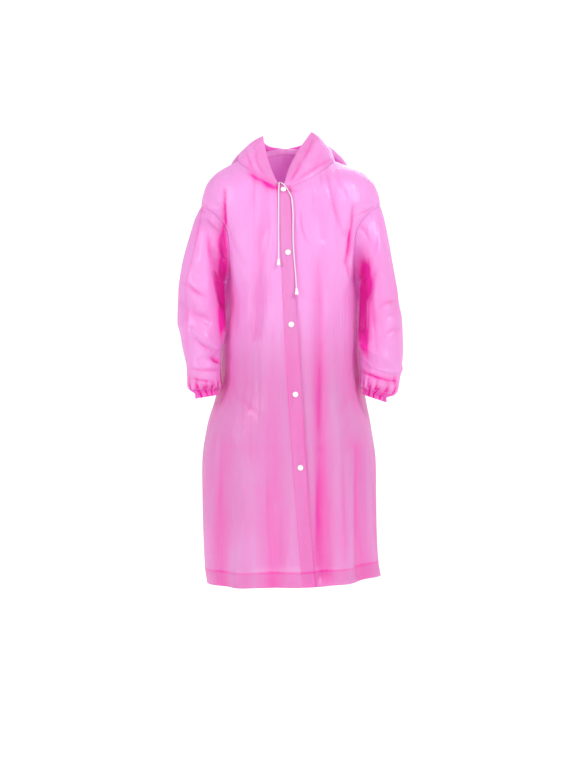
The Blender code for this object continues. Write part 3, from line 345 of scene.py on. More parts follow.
SLEEVE_RINGS = {
    Side.RIGHT: [
        Ring("cap", -0.251, -0.16, -0.1765, -0.321, -0.074, 0.088, 0.0),
        Ring("upper", -0.264, -0.205, -0.176, -0.338, -0.08, 0.087, 0.0),
        Ring("biceps", -0.2835, -0.285, -0.1775, -0.362, -0.084, 0.08, 0.0),
        Ring("elbow_top", -0.2915, -0.355, -0.1775, -0.397, -0.087, 0.07, 0.0),
        Ring("elbow", -0.2925, -0.43, -0.1765, -0.445, -0.092, 0.06, 0.0),
        Ring("forearm_top", -0.285, -0.49, -0.184, -0.495, -0.097, 0.05, 0.0),
        Ring("forearm", -0.273, -0.545, -0.185, -0.545, -0.098, 0.04, 0.0),
        Ring("blouse", -0.2705, -0.588, -0.1835, -0.583, -0.092, 0.03, 0.0018),
        Ring("gather", -0.264, -0.602, -0.1875, -0.597, -0.078, 0.012, 0.0044),
        Ring("elastic", -0.248, -0.614, -0.195, -0.606, -0.066, -0.006, 0.0034),
        Ring("cuff_edge", -0.245, -0.625, -0.191, -0.616, -0.069, -0.003, 0.0048),
    ],
    Side.LEFT: [
        Ring("cap", 0.237, -0.16, 0.1735, -0.321, -0.074, 0.088, 0.0),
        Ring("upper", 0.246, -0.205, 0.174, -0.338, -0.08, 0.087, 0.0),
        Ring("biceps", 0.259, -0.285, 0.176, -0.362, -0.084, 0.08, 0.0),
        Ring("elbow_top", 0.271, -0.355, 0.1765, -0.395, -0.087, 0.07, 0.0),
        Ring("elbow", 0.284, -0.43, 0.174, -0.445, -0.092, 0.06, 0.0),
        Ring("forearm_top", 0.2855, -0.5, 0.171, -0.495, -0.097, 0.05, 0.0),
        Ring("forearm", 0.2795, -0.555, 0.173, -0.545, -0.098, 0.04, 0.0),
        Ring("blouse", 0.2715, -0.597, 0.174, -0.583, -0.092, 0.03, 0.0018),
        Ring("gather", 0.259, -0.615, 0.177, -0.596, -0.078, 0.012, 0.0044),
        Ring("elastic", 0.237, -0.623, 0.183, -0.605, -0.066, -0.006, 0.0034),
        Ring("cuff_edge", 0.235, -0.633, 0.181, -0.615, -0.069, -0.003, 0.0048),
    ],
}
GATHERS = (6.6, 8.6)     # between these rings the film is drawn in
SLEEVE_END = 9.0         # the sleeve ends at this ring, and its cuff begins
CUFF_END = 11.0

SLEEVE_FOLDS = {
    Side.RIGHT: [
        SleeveFold("outer_ridge", 0.6, 0.06, 5.0, 0.04, 0.006, 0.016),
        SleeveFold("front_valley", 1.0, 0.3, 3.6, 0.42, -0.01, 0.016),
        SleeveFold("armpit_pocket", 2.2, 0.36, 3.0, 0.2, -0.008, 0.014),
        SleeveFold("elbow_crease", 4.2, 0.1, 4.8, 0.3, -0.008, 0.013),
        SleeveFold("forearm_ridge", 5.2, 0.12, 6.0, 0.38, 0.007, 0.014),
        SleeveFold("forearm_pocket", 6.5, 0.4, 6.7, 0.22, -0.008, 0.012),
        SleeveFold("back_elbow_crease", 4.4, 0.7, 5.0, 0.88, -0.009, 0.015),
        SleeveFold("back_forearm_crease", 5.9, 0.62, 6.4, 0.84, -0.008, 0.014),
        SleeveFold("armpit_drape", 1.1, 0.47, 5.6, 0.47, 0.007, 0.018),
    ],
    Side.LEFT: [
        SleeveFold("outer_ridge", 0.6, 0.05, 4.0, 0.06, 0.004, 0.016),
        SleeveFold("inner_valley", 2.2, 0.4, 5.0, 0.42, -0.008, 0.014),
        SleeveFold("front_dent", 2.6, 0.3, 3.4, 0.36, -0.008, 0.016),
        SleeveFold("elbow_crease", 4.3, 0.08, 5.0, 0.26, -0.007, 0.013),
        SleeveFold("blousing_ridge", 5.9, 0.42, 6.9, 0.08, 0.008, 0.014),
        SleeveFold("blousing_pocket", 6.9, 0.36, 7.4, 0.12, -0.007, 0.012),
        SleeveFold("back_elbow_crease", 4.5, 0.68, 5.1, 0.86, -0.009, 0.015),
        SleeveFold("back_forearm_crease", 6.0, 0.64, 6.5, 0.86, -0.008, 0.014),
        SleeveFold("armpit_drape", 1.1, 0.47, 5.6, 0.47, 0.007, 0.018),
    ],
}

NAPE_X = -0.017
RIMS = {
    Side.RIGHT: [
        Rim("throat", 0.0, -0.0385, -0.104, -0.0785),
        Rim("collar", 0.1, -0.047, -0.09, -0.06),
        Rim("cheek", 0.24, -0.06, -0.065, -0.023),
        Rim("temple", 0.38, -0.0715, -0.035, 0.026),
        Rim("peak", 0.52, -0.0767, 0.0, 0.057),
        Rim("behind_peak", 0.68, -0.077, 0.05, 0.0525),
        Rim("rear_corner", 0.84, -0.062, 0.101, 0.047),
        Rim("nape", 1.0, NAPE_X, 0.13, 0.044),
    ],
    Side.LEFT: [
        Rim("throat", 0.0, -0.0205, -0.101, -0.078),
        Rim("collar", 0.12, -0.011, -0.083, -0.044),
        Rim("cheek", 0.26, 0.011, -0.05, 0.006),
        Rim("temple", 0.4, 0.036, -0.015, 0.047),
        Rim("peak", 0.52, 0.05, 0.01, 0.0695),
        Rim("behind_peak", 0.68, 0.046, 0.055, 0.062),
        Rim("rear_corner", 0.84, 0.024, 0.1, 0.05),
        Rim("nape", 1.0, NAPE_X, 0.13, 0.044),
    ],
}

POUCH = [
    Pouch("seam", 0.0, 0.0, 0.0),
    Pouch("stand", 0.0, 0.005, 0.014),
    Pouch("crest", 0.06, 0.016, 0.016),
    Pouch("over", 0.2, 0.019, 0.004),
    Pouch("fall", 0.42, 0.012, 0.0),
    Pouch("drop", 0.7, 0.009, 0.0),
    Pouch("bottom_in", 0.92, 0.012, 0.0),
    Pouch("bottom", 1.0, 0.026, 0.0),
    Pouch("bottom_out", 0.95, 0.042, 0.0),
    Pouch("outer_low", 0.76, 0.052, 0.0),
    Pouch("outer_mid", 0.48, 0.055, 0.0),
    Pouch("outer_top", 0.18, 0.048, 0.004),
    Pouch("rim", 0.0, 0.04, 0.016),
]
POUCH_DEPTH_BACK = 4.2
POUCH_DEPTH_SIDE = 0.8
POUCH_SIDE_DEG = 95.0
POUCH_FULL_DEG = 160.0
HOOD_BULGE = 0.010

# Creases, as seen from the front and from behind.
# Each crease's tone is painted shade along it, and a painted highlight where it is below 0; creases with no depth are
# painted shade alone.
FRONT_CREASES = [
    Crease("neck_drop_right", -97.5, -41.6, -100.1, -130, 1.3, -2.5, 6, 0.18),
    Crease("neck_drop_left", 71.5, -20.8, 74.1, -75.4, 0, -2, 5, 0.2),
    Crease("neck_sweep_left", 87.1, -18.2, 136.5, -202.8, 7.8, -3, 6, 0.28),
    Crease("yoke_sweep_left", 105.3, -5.2, 154.7, -122.2, 7.8, -1.5, 6, 0.1),
    Crease("chest_fall_right", -81.9, -202.8, -120.9, -457.6, -5.2, -3.5, 12, 0.1),
    Crease("band_bulge", 11.7, -143, 27.3, -208, 5.2, 2.5, 5, -0.05),
    Crease("band_bulge_side", 22.1, -145.6, 40.3, -223.6, 6.5, -2.5, 4, 0.3),
    Crease("long_fall_top", 66.3, -275.6, 74.1, -486.2, -2.6, -3, 7, 0.16),
    Crease("long_fall_mid", 74.1, -486.2, 71.5, -759.2, 2.6, -4, 8, 0.3),
    Crease("long_fall_low", 71.5, -759.2, 66.3, -1060.8, 2.6, -3.5, 8, 0.3),
    Crease("left_armpit_fold", 149.5, -189.8, 139.1, -270.4, -3.9, -5, 7, 0.85),
    Crease("left_armpit_fold_low", 139.1, -270.4, 152.1, -322.4, -2.6, -3.5, 6, 0.45),
    Crease("left_skirt_line_a", 165.1, -748.8, 167.7, -1086.8, 1.3, -3, 5, 0.22),
    Crease("left_skirt_line_b", 191.1, -748.8, 196.3, -1076.4, 1.3, 2.5, 5, -0.05),
    Crease("left_skirt_line_c", 211.9, -764.4, 219.7, -1060.8, 1.3, -3, 5, 0.3),
    Crease("hem_corner_edge", -126.1, -811.2, -126.1, -1118, 1.3, 3.5, 6, 0.05),
    Crease("right_skirt_line_a", -185.9, -722.8, -193.7, -1107.6, 2.6, -3, 8, 0.12),
    Crease("right_skirt_line_b", -154.7, -889.2, -165.1, -1112.8, 1.3, 1.5, 6, 0),
    Crease("middle_skirt_line_a", -66.3, -691.6, -53.3, -1112.8, 3.9, -2.5, 9, 0.14),
    Crease("middle_skirt_line_b", -24.7, -941.2, -16.9, -1112.8, 1.3, 1.5, 6, 0),
    Crease("left_middle_line_a", 100.1, -821.6, 107.9, -1102.4, 2.6, 2, 7, 0),
    Crease("left_middle_line_b", 131.3, -707.2, 136.5, -1097.2, -2.6, -2.5, 7, 0.16),
    Crease("right_drag", -170.3, -166.4, -128.7, -280.8, 5.2, -2, 7, 0.16),
    Crease("right_under_drag", -165.1, -270.4, -141.7, -447.2, 2.6, -1.5, 9, 0.08),
    Crease("left_drag", 154.7, -127.4, 131.3, -208, -3.9, -1.5, 6, 0.08),
    Crease("waist_pull_right", -146.9, -608.4, -79.3, -676, 5.2, -1.5, 8, 0.08),
    Crease("waist_pull_left", 154.7, -598, 105.3, -681.2, -5.2, -1.5, 8, 0.08),
    Crease("pack_crease_chest", -170.3, -369.2, 9.1, -371.8, 0, 0.5, 1.6, 0.05),
    Crease("pack_crease_chest_left", 11.7, -371.8, 172.9, -366.6, 0, 0.5, 1.6, 0.05),
    Crease("pack_crease_skirt", -227.5, -751.4, 32.5, -754, 0, 0.5, 1.6, 0.05),
    Crease("pack_crease_skirt_left", 35.1, -754, 222.3, -748.8, 0, 0.5, 1.6, 0.05),
    Crease("pack_crease_upright_right", -115.7, -135.2, -126.1, -733.2, 0, 0.4, 1.6, 0.04),
    Crease("pack_crease_upright_left", 126.1, -239.2, 126.1, -707.2, 0, 0.4, 1.6, 0.04),
    Crease("neck_shade_right_top", -113.1, -39, -79.3, -59.8, 1.6, 0, 7, 0.75),
    Crease("neck_shade_right_low", -79.3, -59.8, -40.3, -80.6, 1.6, 0, 9, 0.95),
    Crease("neck_shade_left", 11.7, -62.4, 42.9, -46.8, 1, 0, 5, 0.4),
    Crease("band_top_shade", -42.9, -75.4, 9.1, -88.4, 0, 0, 7, 0.5),
    Crease("armhole_fold_right", -177, -80, -174.5, -310, 0, -4.5, 3.8, 1.1),
    Crease("armhole_fold_right_soft", -184, -120, -180, -280, 0, -1, 12, 0.35),
    Crease("cap_drag_right", -235, -115, -180, -185, 3, -2.5, 4, 0.35),
    Crease("cap_drag_left", 165, -150, 215, -125, 3, -2, 4, 0.3),
    Crease("armhole_fold_left", 157, -125, 149, -215, -2, -3, 3.6, 0.6),
]
BACK_PAIRED_CREASES = [
    Crease("yoke_sweep", -100, -160, -60, -300, 4, -2, 7, 0.1),
    Crease("armhole_drag", -165, -240, -120, -360, 6, -3, 8, 0.2),
    Crease("pack_upright", -120, -250, -120, -1020, 0, 0.4, 1.6, 0.04),
]
BACK_CREASES = [
    Crease("fall_a", -110, -420, -125, -1070, 4, -3, 8, 0.16),
    Crease("fall_b", -45, -360, -50, -1070, -4, -3, 9, 0.14),
    Crease("fall_c", 20, -400, 25, -1070, 4, -3, 8, 0.14),
    Crease("fall_d", 85, -380, 95, -1070, -4, -3, 9, 0.16),
    Crease("fall_e", 150, -500, 165, -1070, 3, 3, 7, 0),
    Crease("pack_crease", -190, -370, 190, -370, 0, 0.5, 1.6, 0.05),
    Crease("pack_crease_low", -210, -750, 210, -750, 0, 0.5, 1.6, 0.05),
    *BACK_PAIRED_CREASES,
    *mirrored(BACK_PAIRED_CREASES),
]
SLEEVE_FRONT_CREASES = {
    Side.RIGHT: [
        Crease("armhole_fold", -179, -160, -176.5, -300, 0, -3.5, 6, 1.2),
        Crease("inner_shade", -186, -210, -182, -440, 0, 0, 16, 0.55),
        Crease("upper_valley", -219.7, -192.4, -206.7, -270.4, 2.6, -3, 7, 0.4),
        Crease("lower_valley", -206.7, -270.4, -185.9, -369.2, 2.6, -3, 7, 0.45),
        Crease("inner_valley", -185.9, -369.2, -183.3, -486.2, 1.3, -2, 7, 0.6),
        Crease("corner_ridge", -204.1, -228.8, -172.9, -270.4, 0, 4, 5, -0.1),
        Crease("armpit_pocket", -185.9, -202.8, -180.7, -265.2, 0, -5, 8, 1),
        Crease("below_pocket", -183.3, -270.4, -175.5, -447.2, 0, -1.5, 8, 0.85),
        Crease("cap_drag", -224.9, -150.8, -183.3, -192.4, 2.6, -2, 6, 0.2),
        Crease("elbow_crease", -274.3, -330.2, -227.5, -358.8, 2.6, -4, 5, 0.4),
        Crease("elbow_ripple", -266.5, -397.8, -214.5, -416, 2.6, -2.5, 6, 0.18),
        Crease("elbow_ridge", -263.9, -442, -206.7, -488.8, 3.9, 4, 6, -0.05),
        Crease("elbow_ridge_inner", -206.7, -488.8, -180.7, -504.4, 0, 3, 5, 0),
        Crease("under_ridge", -250.9, -468, -204.1, -504.4, 3.9, -3, 5, 0.35),
        Crease("forearm_pocket", -211.9, -520, -183.3, -535.6, 0, -5, 5, 0.85),
        Crease("forearm_fold", -261.3, -548.6, -183.3, -548.6, 3.9, -3, 4, 0.4),
        Crease("cuff_wedge", -263.9, -572, -209.3, -582.4, 1.3, -3, 4, 0.4),
        Crease("outer_fold_a", -235.3, -130, -258.7, -254.8, -2.1, 1.6, 2.5, 0.35),
        Crease("outer_fold_b", -258.7, -254.8, -278.2, -330.2, -1.3, 1.6, 2.5, 0.35),
        Crease("outer_fold_c", -278.2, -330.2, -274.3, -499.2, -3.9, 1.2, 2.5, 0.22),
        Crease("cuff_gather_shade", -266.5, -603.2, -183.3, -592.8, 0, 0, 10, 0.35),
    ],
    Side.LEFT: [
        Crease("inner_valley", 180.7, -270.4, 193.7, -540.8, 2.6, -3.5, 8, 0.5),
        Crease("shade_patch", 193.7, -278.2, 196.3, -361.4, 0, -3.5, 13, 1),
        Crease("shade_run", 178.1, -343.2, 180.7, -504.4, 0, -1.5, 12, 1),
        Crease("inner_shade", 183, -240, 188, -490, 0, 0, 18, 0.55),
        Crease("cap_drag", 165.1, -166.4, 206.7, -228.8, -3.9, -2, 6, 0.2),
        Crease("front_sweep", 222.3, -187.2, 204.1, -275.6, -3.9, -2, 8, 0.15),
        Crease("elbow_crease", 271.7, -369.2, 227.5, -387.4, 2.6, -3.5, 5, 0.28),
        Crease("elbow_ripple", 279.5, -442, 237.9, -465.4, 2.6, -2.5, 6, 0.2),
        Crease("blousing_ridge", 170.3, -499.2, 209.3, -543.4, 3.9, 4, 6, -0.05),
        Crease("blousing_ridge_out", 209.3, -543.4, 279.5, -556.4, 3.9, 3.5, 6, -0.05),
        Crease("blousing_pocket", 178.1, -553.8, 271.7, -579.8, 5.2, -4.5, 6, 0.75),
        Crease("forearm_line", 206.7, -369.2, 222.3, -504.4, 2.6, -2, 7, 0.18),
        Crease("cuff_gather_shade", 180.7, -603.2, 274.3, -608.4, 0, 0, 10, 0.45),
    ],
}
SLEEVE_BACK_CREASES = [
    Crease("elbow", -285, -400, -215, -430, 6, -4, 7, 0.35),
    Crease("elbow_low", -288, -455, -225, -470, 5, -3, 6, 0.22),
    Crease("cap_drag", -245, -190, -205, -260, 4, -3, 8, 0.22),
    Crease("forearm", -275, -530, -200, -545, 5, -4, 6, 0.3),
    Crease("cuff_shade", -260, -600, -190, -595, 0, 0, 12, 0.4),
]
HOOD_CREASES = {
    Side.RIGHT: [
        Crease("hood_sweep_a", -120.9, 18.2, -94.9, -39, 3.9, -1.8, 5, 0.28),
        Crease("hood_sweep_b", -102.7, 28.6, -68.9, -49.4, 5.2, -1.5, 4, 0.3),
        Crease("hood_seam_shade", -139.1, -15.6, -45.5, -65, 3.9, 0, 6, 0.4),
        Crease("hood_rise", -79.3, 46.8, -120.9, 0, -2.6, 1.2, 5, 0),
    ],
    Side.LEFT: [
        Crease("hood_sweep_a", 50.7, 44.2, 19.5, -15.6, -2.6, -1.6, 4, 0.35),
        Crease("hood_sweep_b", 19.5, -15.6, -3.9, -57.2, -1.3, -1.6, 4, 0.45),
        Crease("hood_sweep_c", 74.1, 20.8, 50.7, -31.2, -3.9, -1.2, 6, 0.12),
        Crease("hood_seam_shade", 107.9, 0, 9.1, -59.8, 2.6, 0, 5, 0.35),
    ],
}

# Routes of the drawcord's three stretches, repeated from the coat's solids.
CASING_ROUTE = np.array([
    (-0.0552, -0.0950, -0.0632), (-0.0631, -0.0875, -0.0511), (-0.0695, -0.0773, -0.0367), (-0.0747, -0.0657, -0.0205),
    (-0.0798, -0.0533, -0.0015), (-0.0837, -0.0405, 0.0164), (-0.0861, -0.0276, 0.0303), (-0.0876, -0.0147, 0.0425),
    (-0.0879, -0.0020, 0.0482), (-0.0871, 0.0133, 0.0465), (-0.0857, 0.0310, 0.0435), (-0.0838, 0.0497, 0.0411),
    (-0.0807, 0.0683, 0.0393), (-0.0742, 0.0862, 0.0373), (-0.0663, 0.1008, 0.0354), (-0.0587, 0.1109, 0.0339),
    (-0.0485, 0.1180, 0.0329), (-0.0368, 0.1239, 0.0321), (-0.0250, 0.1293, 0.0314), (-0.0155, 0.1346, 0.0305),
    (-0.0081, 0.1296, 0.0318), (0.0012, 0.1243, 0.0330), (0.0110, 0.1187, 0.0344), (0.0207, 0.1122, 0.0362),
    (0.0297, 0.1039, 0.0386), (0.0391, 0.0924, 0.0423), (0.0478, 0.0780, 0.0465), (0.0536, 0.0621, 0.0500),
    (0.0565, 0.0461, 0.0529), (0.0586, 0.0301, 0.0565), (0.0596, 0.0152, 0.0592), (0.0593, 0.0030, 0.0591),
    (0.0548, -0.0077, 0.0519), (0.0470, -0.0194, 0.0399), (0.0381, -0.0332, 0.0264), (0.0277, -0.0479, 0.0102),
    (0.0180, -0.0621, -0.0072), (0.0087, -0.0758, -0.0265), (0.0010, -0.0874, -0.0448), (-0.0048, -0.0958, -0.0603),
])
RIGHT_ROUTE = np.array([
    (-0.0551, -0.0952, -0.0635), (-0.0536, -0.0965, -0.0657), (-0.0482, -0.0993, -0.0716), (-0.0436, -0.1019, -0.0781),
    (-0.0376, -0.1046, -0.0819), (-0.0342, -0.1110, -0.0798), (-0.0344, -0.1168, -0.0854), (-0.0348, -0.1206, -0.0929),
    (-0.0350, -0.1244, -0.1004), (-0.0352, -0.1274, -0.1083), (-0.0352, -0.1295, -0.1165), (-0.0352, -0.1312, -0.1248),
    (-0.0351, -0.1327, -0.1331), (-0.0351, -0.1340, -0.1414), (-0.0351, -0.1351, -0.1498), (-0.0351, -0.1361, -0.1582),
    (-0.0351, -0.1368, -0.1666), (-0.0352, -0.1375, -0.1750), (-0.0352, -0.1381, -0.1834), (-0.0353, -0.1388, -0.1918),
    (-0.0353, -0.1396, -0.2002), (-0.0352, -0.1404, -0.2086), (-0.0352, -0.1413, -0.2170), (-0.0352, -0.1422, -0.2254),
    (-0.0351, -0.1432, -0.2338), (-0.0351, -0.1442, -0.2422), (-0.0350, -0.1454, -0.2505), (-0.0351, -0.1469, -0.2589),
    (-0.0351, -0.1485, -0.2671), (-0.0352, -0.1501, -0.2754),
])
LEFT_ROUTE = np.array([
    (-0.0049, -0.0959, -0.0606), (-0.0058, -0.0973, -0.0631), (-0.0112, -0.0985, -0.0694), (-0.0163, -0.0989, -0.0760),
    (-0.0215, -0.0994, -0.0824), (-0.0277, -0.1041, -0.0818), (-0.0290, -0.1119, -0.0805), (-0.0235, -0.1159, -0.0849),
    (-0.0183, -0.1190, -0.0907), (-0.0140, -0.1222, -0.0971), (-0.0101, -0.1253, -0.1038), (-0.0066, -0.1280, -0.1108),
    (-0.0035, -0.1303, -0.1183), (-0.0019, -0.1318, -0.1263), (-0.0010, -0.1331, -0.1345), (-0.0003, -0.1344, -0.1427),
    (0.0002, -0.1356, -0.1510), (0.0006, -0.1366, -0.1593), (0.0008, -0.1375, -0.1676), (0.0008, -0.1383, -0.1759),
    (0.0008, -0.1390, -0.1842), (0.0008, -0.1397, -0.1925), (0.0008, -0.1404, -0.2009), (0.0008, -0.1412, -0.2092),
    (0.0009, -0.1420, -0.2175), (0.0010, -0.1428, -0.2258), (0.0012, -0.1436, -0.2341), (0.0015, -0.1445, -0.2424),
    (0.0020, -0.1454, -0.2507), (0.0026, -0.1462, -0.2590), (0.0032, -0.1471, -0.2673), (0.0039, -0.1480, -0.2755),
    (0.0046, -0.1490, -0.2838), (0.0052, -0.1500, -0.2921), (0.0059, -0.1511, -0.3003), (0.0066, -0.1522, -0.3086),
    (0.0073, -0.1535, -0.3168), (0.0079, -0.1550, -0.3250), (0.0084, -0.1566, -0.3332), (0.0089, -0.1586, -0.3413),
    (0.0093, -0.1605, -0.3494),
])


# ==== surfaces


def from_line(x: Array, y: Array, start: tuple[float, float], end: tuple[float, float]) -> tuple[Array, Array]:
    """Where places in a plane lie against a straight line.

    Args:
        x: their first coordinate.
        y: their second coordinate.
        start: the line's start.
        end: its end.

    Returns:
        The share of the line's length next to each place, and the distance from it.
    """
    run = np.subtract(end, start)
    offset = np.stack(np.broadcast_arrays(x - start[0], y - start[1]), axis=-1)
    share = np.clip(offset @ run / (run @ run), 0.0, 1.0)
    return share, np.linalg.norm(offset - share[..., None] * run, axis=-1)


def seen_from_front(points: Array) -> tuple[Array, Array]:
    """x and z of points as the camera sees them, carried to the plane y = 0.

    Each offset from the line of sight is scaled by distance / (distance + y).
    """
    scale = VIEW_DISTANCE / (VIEW_DISTANCE + points[..., 1])
    return (points[..., 0] - VIEW_X) * scale + VIEW_X, (points[..., 2] - VIEW_Z) * scale + VIEW_Z


def crease_relief(points: Array, outward: Array, creases: list[Crease],
                  facing: float) -> tuple[Array, Array]:
    """Depth and tone, a painted shade, that creases give a surface.

    Each crease is a bowed line with a crisp crest. A point at distance d from it is
    moved by 1.25 depth (0.4 + 0.6 sin(pi s)) exp(1 - sqrt(1 + 4 (d / width)^2)), where s
    is the share of the line's length, and it fades where the cloth turns from the view.

    Args:
        points: the surface's points.
        outward: its outward directions.
        creases: the creases of one view.
        facing: -1 for the front view and 1 for the back view.

    Returns:
        The depth and the tone of every point.
    """
    x, z = seen_from_front(points) if facing < 0 else (points[..., 0], points[..., 2])
    turned_away = smoothstep(0.05, 0.45, facing * outward[..., 1])
    depth, tone = np.zeros(x.shape), np.zeros(x.shape)
    for crease in creases:
        x0, z0, x1, z1, bow, height, width = (value / 1000.0 for value in astuple(crease)[1:8])
        dx, dz = x1 - x0, z1 - z0
        length = math.hypot(dx, dz)
        share = np.clip(((x - x0) * dx + (z - z0) * dz) / length ** 2, 0.0, 1.0)
        side = bow * 4.0 * share * (1.0 - share) / length
        near = ((x - x0 - share * dx - dz * side) ** 2 + (z - z0 - share * dz + dx * side) ** 2) / width ** 2
        bell = (0.4 + 0.6 * np.sin(math.pi * share)) * turned_away
        depth += height * np.exp(1.0 - np.sqrt(1.0 + 4.0 * near)) * bell * 1.25
        # Painted shade along the crease, or a painted highlight where its tone is below 0.
        tone += 1.3 * crease.tone * np.exp(0.3 - np.sqrt(0.09 + 1.6 * near)) * bell
    return depth, tone


@dataclass
class Surface:
    """A grid of points on a piece of cloth, with its outward directions, tone and painted shade where it hangs free.
    """

    points: Array
    closed: bool = False
    tone: Array = field(init=False)
    veil: Array = field(init=False)

    def __post_init__(self) -> None:
        """Start with the film's own tone and no painted shade."""
        self.tone, self.veil = np.zeros((2, *self.points.shape[:2]))

    @property
    def outward(self) -> Array:
        """Unit normals: the cross product of the steps along a row and up a column."""
        if self.closed:
            across = np.roll(self.points, -1, axis=1) - np.roll(self.points, 1, axis=1)
        else:
            across = np.gradient(self.points, axis=1)
        return unit(np.cross(across, np.gradient(self.points, axis=0)))

    def edge_distance(self) -> Array:
        """Distance from each point to the nearest edge, along the grid's lines."""
        up = np.linalg.norm(np.diff(self.points, axis=0), axis=2)
        height = np.vstack([np.zeros((1, up.shape[1])), np.cumsum(up, axis=0)])
        nearest = np.minimum(height, height[-1] - height)
        if not self.closed:
            across = np.linalg.norm(np.diff(self.points, axis=1), axis=2)
            width = np.hstack([np.zeros((across.shape[0], 1)), np.cumsum(across, axis=1)])
            nearest = np.minimum(nearest, np.minimum(width, width[:, -1:] - width))
        return nearest

    def creased(self, front: list[Crease], back: list[Crease], fade: float = 0.014) -> "Surface":
        """The surface with its creases, which fade out towards its edges, and the painted shade of their tones.

        Args:
            front: creases as seen from the front.
            back: creases as seen from behind.
            fade: distance from an edge at which a crease has its full depth.

        Returns:
            The same surface.
        """
        outward = self.outward
        depth, tone = crease_relief(self.points, outward, front, -1.0)
        back_depth, back_tone = crease_relief(self.points, outward, back, 1.0)
        hold = smoothstep(0.0, fade, self.edge_distance())
        self.points = self.points + outward * ((depth + back_depth) * hold)[..., None]
        # Add the creases' painted shade.
        self.tone = self.tone + tone + back_tone
        return self

    def layer(self, depth: Array, rows: slice, columns: slice, tone: float) -> "Surface":
        """A strip behind part of the surface.

        Args:
            depth: how far it is moved in, one number or one for each point.
            rows: the rows that it covers.
            columns: the columns that it covers.
            tone: its own tone.

        Returns:
            The strip.
        """
        moved = self.points - self.outward * np.broadcast_to(depth, self.points.shape[:2])[..., None]
        strip = Surface(moved[rows, columns])
        strip.tone[:] = tone
        return strip

    def facing_out(self) -> "Surface":
        """A tube with its columns in the order that turns its normals outwards."""
        middle = self.points.mean(axis=1, keepdims=True)
        if np.sum(self.outward * (self.points - middle)) < 0.0:
            self.points, self.tone = self.points[:, ::-1], self.tone[:, ::-1]
        return self


def grid_faces(rows: int, columns: int, closed: bool) -> list:
    """Quads between the rows of a grid.

    Args:
        rows: rows of points.
        columns: points in a row.
        closed: whether a row's last point joins its first.

    Returns:
        Four corner numbers for each quad.
    """
    cells = columns if closed else columns - 1
    row, column = np.meshgrid(np.arange(rows - 1), np.arange(cells), indexing="ij")
    after = (column + 1) % columns
    start = row * columns
    return np.stack([start + column, start + after, start + columns + after, start + columns + column],
                    axis=-1).reshape(-1, 4).tolist()


def add_mesh(name: str, points: Array, faces: list, finish: Material) -> Piece:
    """Put a smooth-shaded mesh into the scene, on the coat's body.

    Args:
        name: the piece's name.
        points: its vertices, in the coat's own frame.
        faces: corner numbers of its faces.
        finish: its material.

    Returns:
        The new object.
    """
    mesh = bpy.data.meshes.new(name)
    mesh.from_pydata(points.reshape(-1, 3).tolist(), [], faces)
    mesh.shade_smooth()
    mesh.materials.append(finish)
    thing = bpy.data.objects.new(name, mesh)
    bpy.context.scene.collection.objects.link(thing)
    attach(thing, BODY)
    return thing


def carry(thing: Piece, label: str, values: Array) -> None:
    """Give every point of a piece a number from 0 to 1 that its material reads."""
    carried = thing.data.attributes.new(label, "FLOAT", "POINT")
    carried.data.foreach_set("value", np.clip(values, 0.0, 1.0).astype(np.float32).ravel())


def add_film(name: str, surface: Surface, finish: Material, node: str) -> Piece:
    """A piece of film: the surface's grid with its tone and painted hanging shade, made a thin wall by Solidify.

    Args:
        name: the piece's name.
        surface: its middle surface.
        finish: its material.
        node: the solid that it stands for.

    Returns:
        The new object.
    """
    rows, columns = surface.points.shape[:2]
    thing = add_mesh(name, surface.points, grid_faces(rows, columns, surface.closed), finish)
    carry(thing, "tone", surface.tone)
    carry(thing, "veil", surface.veil)
    wall = thing.modifiers.new("wall", "SOLIDIFY")
    wall.thickness, wall.offset, wall.use_even_offset = FILM, 0.0, False
    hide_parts(node)
    LOG.info("%s: %d x %d points", name, rows, columns)
    return thing


def tube(path: Array, away: Array, wide: Array, high: Array, sides: int) -> Array:
    """Rings round a path: p + wide cos(a) b + high sin(a) n, one row for each point.

    n is the part of away that stands square to the path, and b is square to both.

    Args:
        path: the points that the tube follows.
        away: the direction of its height, one or one for each point.
        wide: half its width.
        high: half its height.
        sides: points in a ring.

    Returns:
        The rings.
    """
    along = unit(np.gradient(path, axis=0))
    across = unit(np.cross(along, away))
    normal = np.cross(across, along)
    turn = np.arange(sides) / sides * 2.0 * math.pi
    wide = np.broadcast_to(wide, (len(path), sides))
    high = np.broadcast_to(high, (len(path), sides))
    return (path[:, None] + across[:, None] * (wide * np.cos(turn))[..., None]
            + normal[:, None] * (high * np.sin(turn))[..., None])


def capped_tube(rings: Array) -> tuple[Array, list]:
    """A tube closed by a fan at each end, facing outwards.

    Args:
        rings: its rings from end to end.

    Returns:
        Its points and faces.
    """
    rows, sides = rings.shape[:2]
    points = np.vstack([rings.reshape(-1, 3), rings[0].mean(axis=0), rings[-1].mean(axis=0)])
    quads = grid_faces(rows, sides, True)
    ring = np.arange(sides)
    after, end = (ring + 1) % sides, (rows - 1) * sides
    first = np.stack([after, ring, np.full(sides, rows * sides)], axis=1)
    last = np.stack([end + ring, end + after, np.full(sides, rows * sides + 1)], axis=1)
    faces = quads + first.tolist() + last.tolist()
    corners = points[quads[0]]
    out = np.cross(corners[1] - corners[0], corners[3] - corners[0])
    if out @ (corners[0] - rings[0].mean(axis=0)) < 0.0:
        faces = [face[::-1] for face in faces]
    return points, faces


def turned(profile: Array, segments: int) -> tuple[Array, list]:
    """A solid of revolution about Z, flat at both ends.

    Args:
        profile: (radius, height) pairs from end to end.
        segments: points in a ring.

    Returns:
        Its points and faces.
    """
    turn = np.arange(segments) / segments * 2.0 * math.pi
    radius, height = profile[:, :1], profile[:, 1:]
    return capped_tube(np.stack(np.broadcast_arrays(radius * np.cos(turn), radius * np.sin(turn), height), axis=-1))


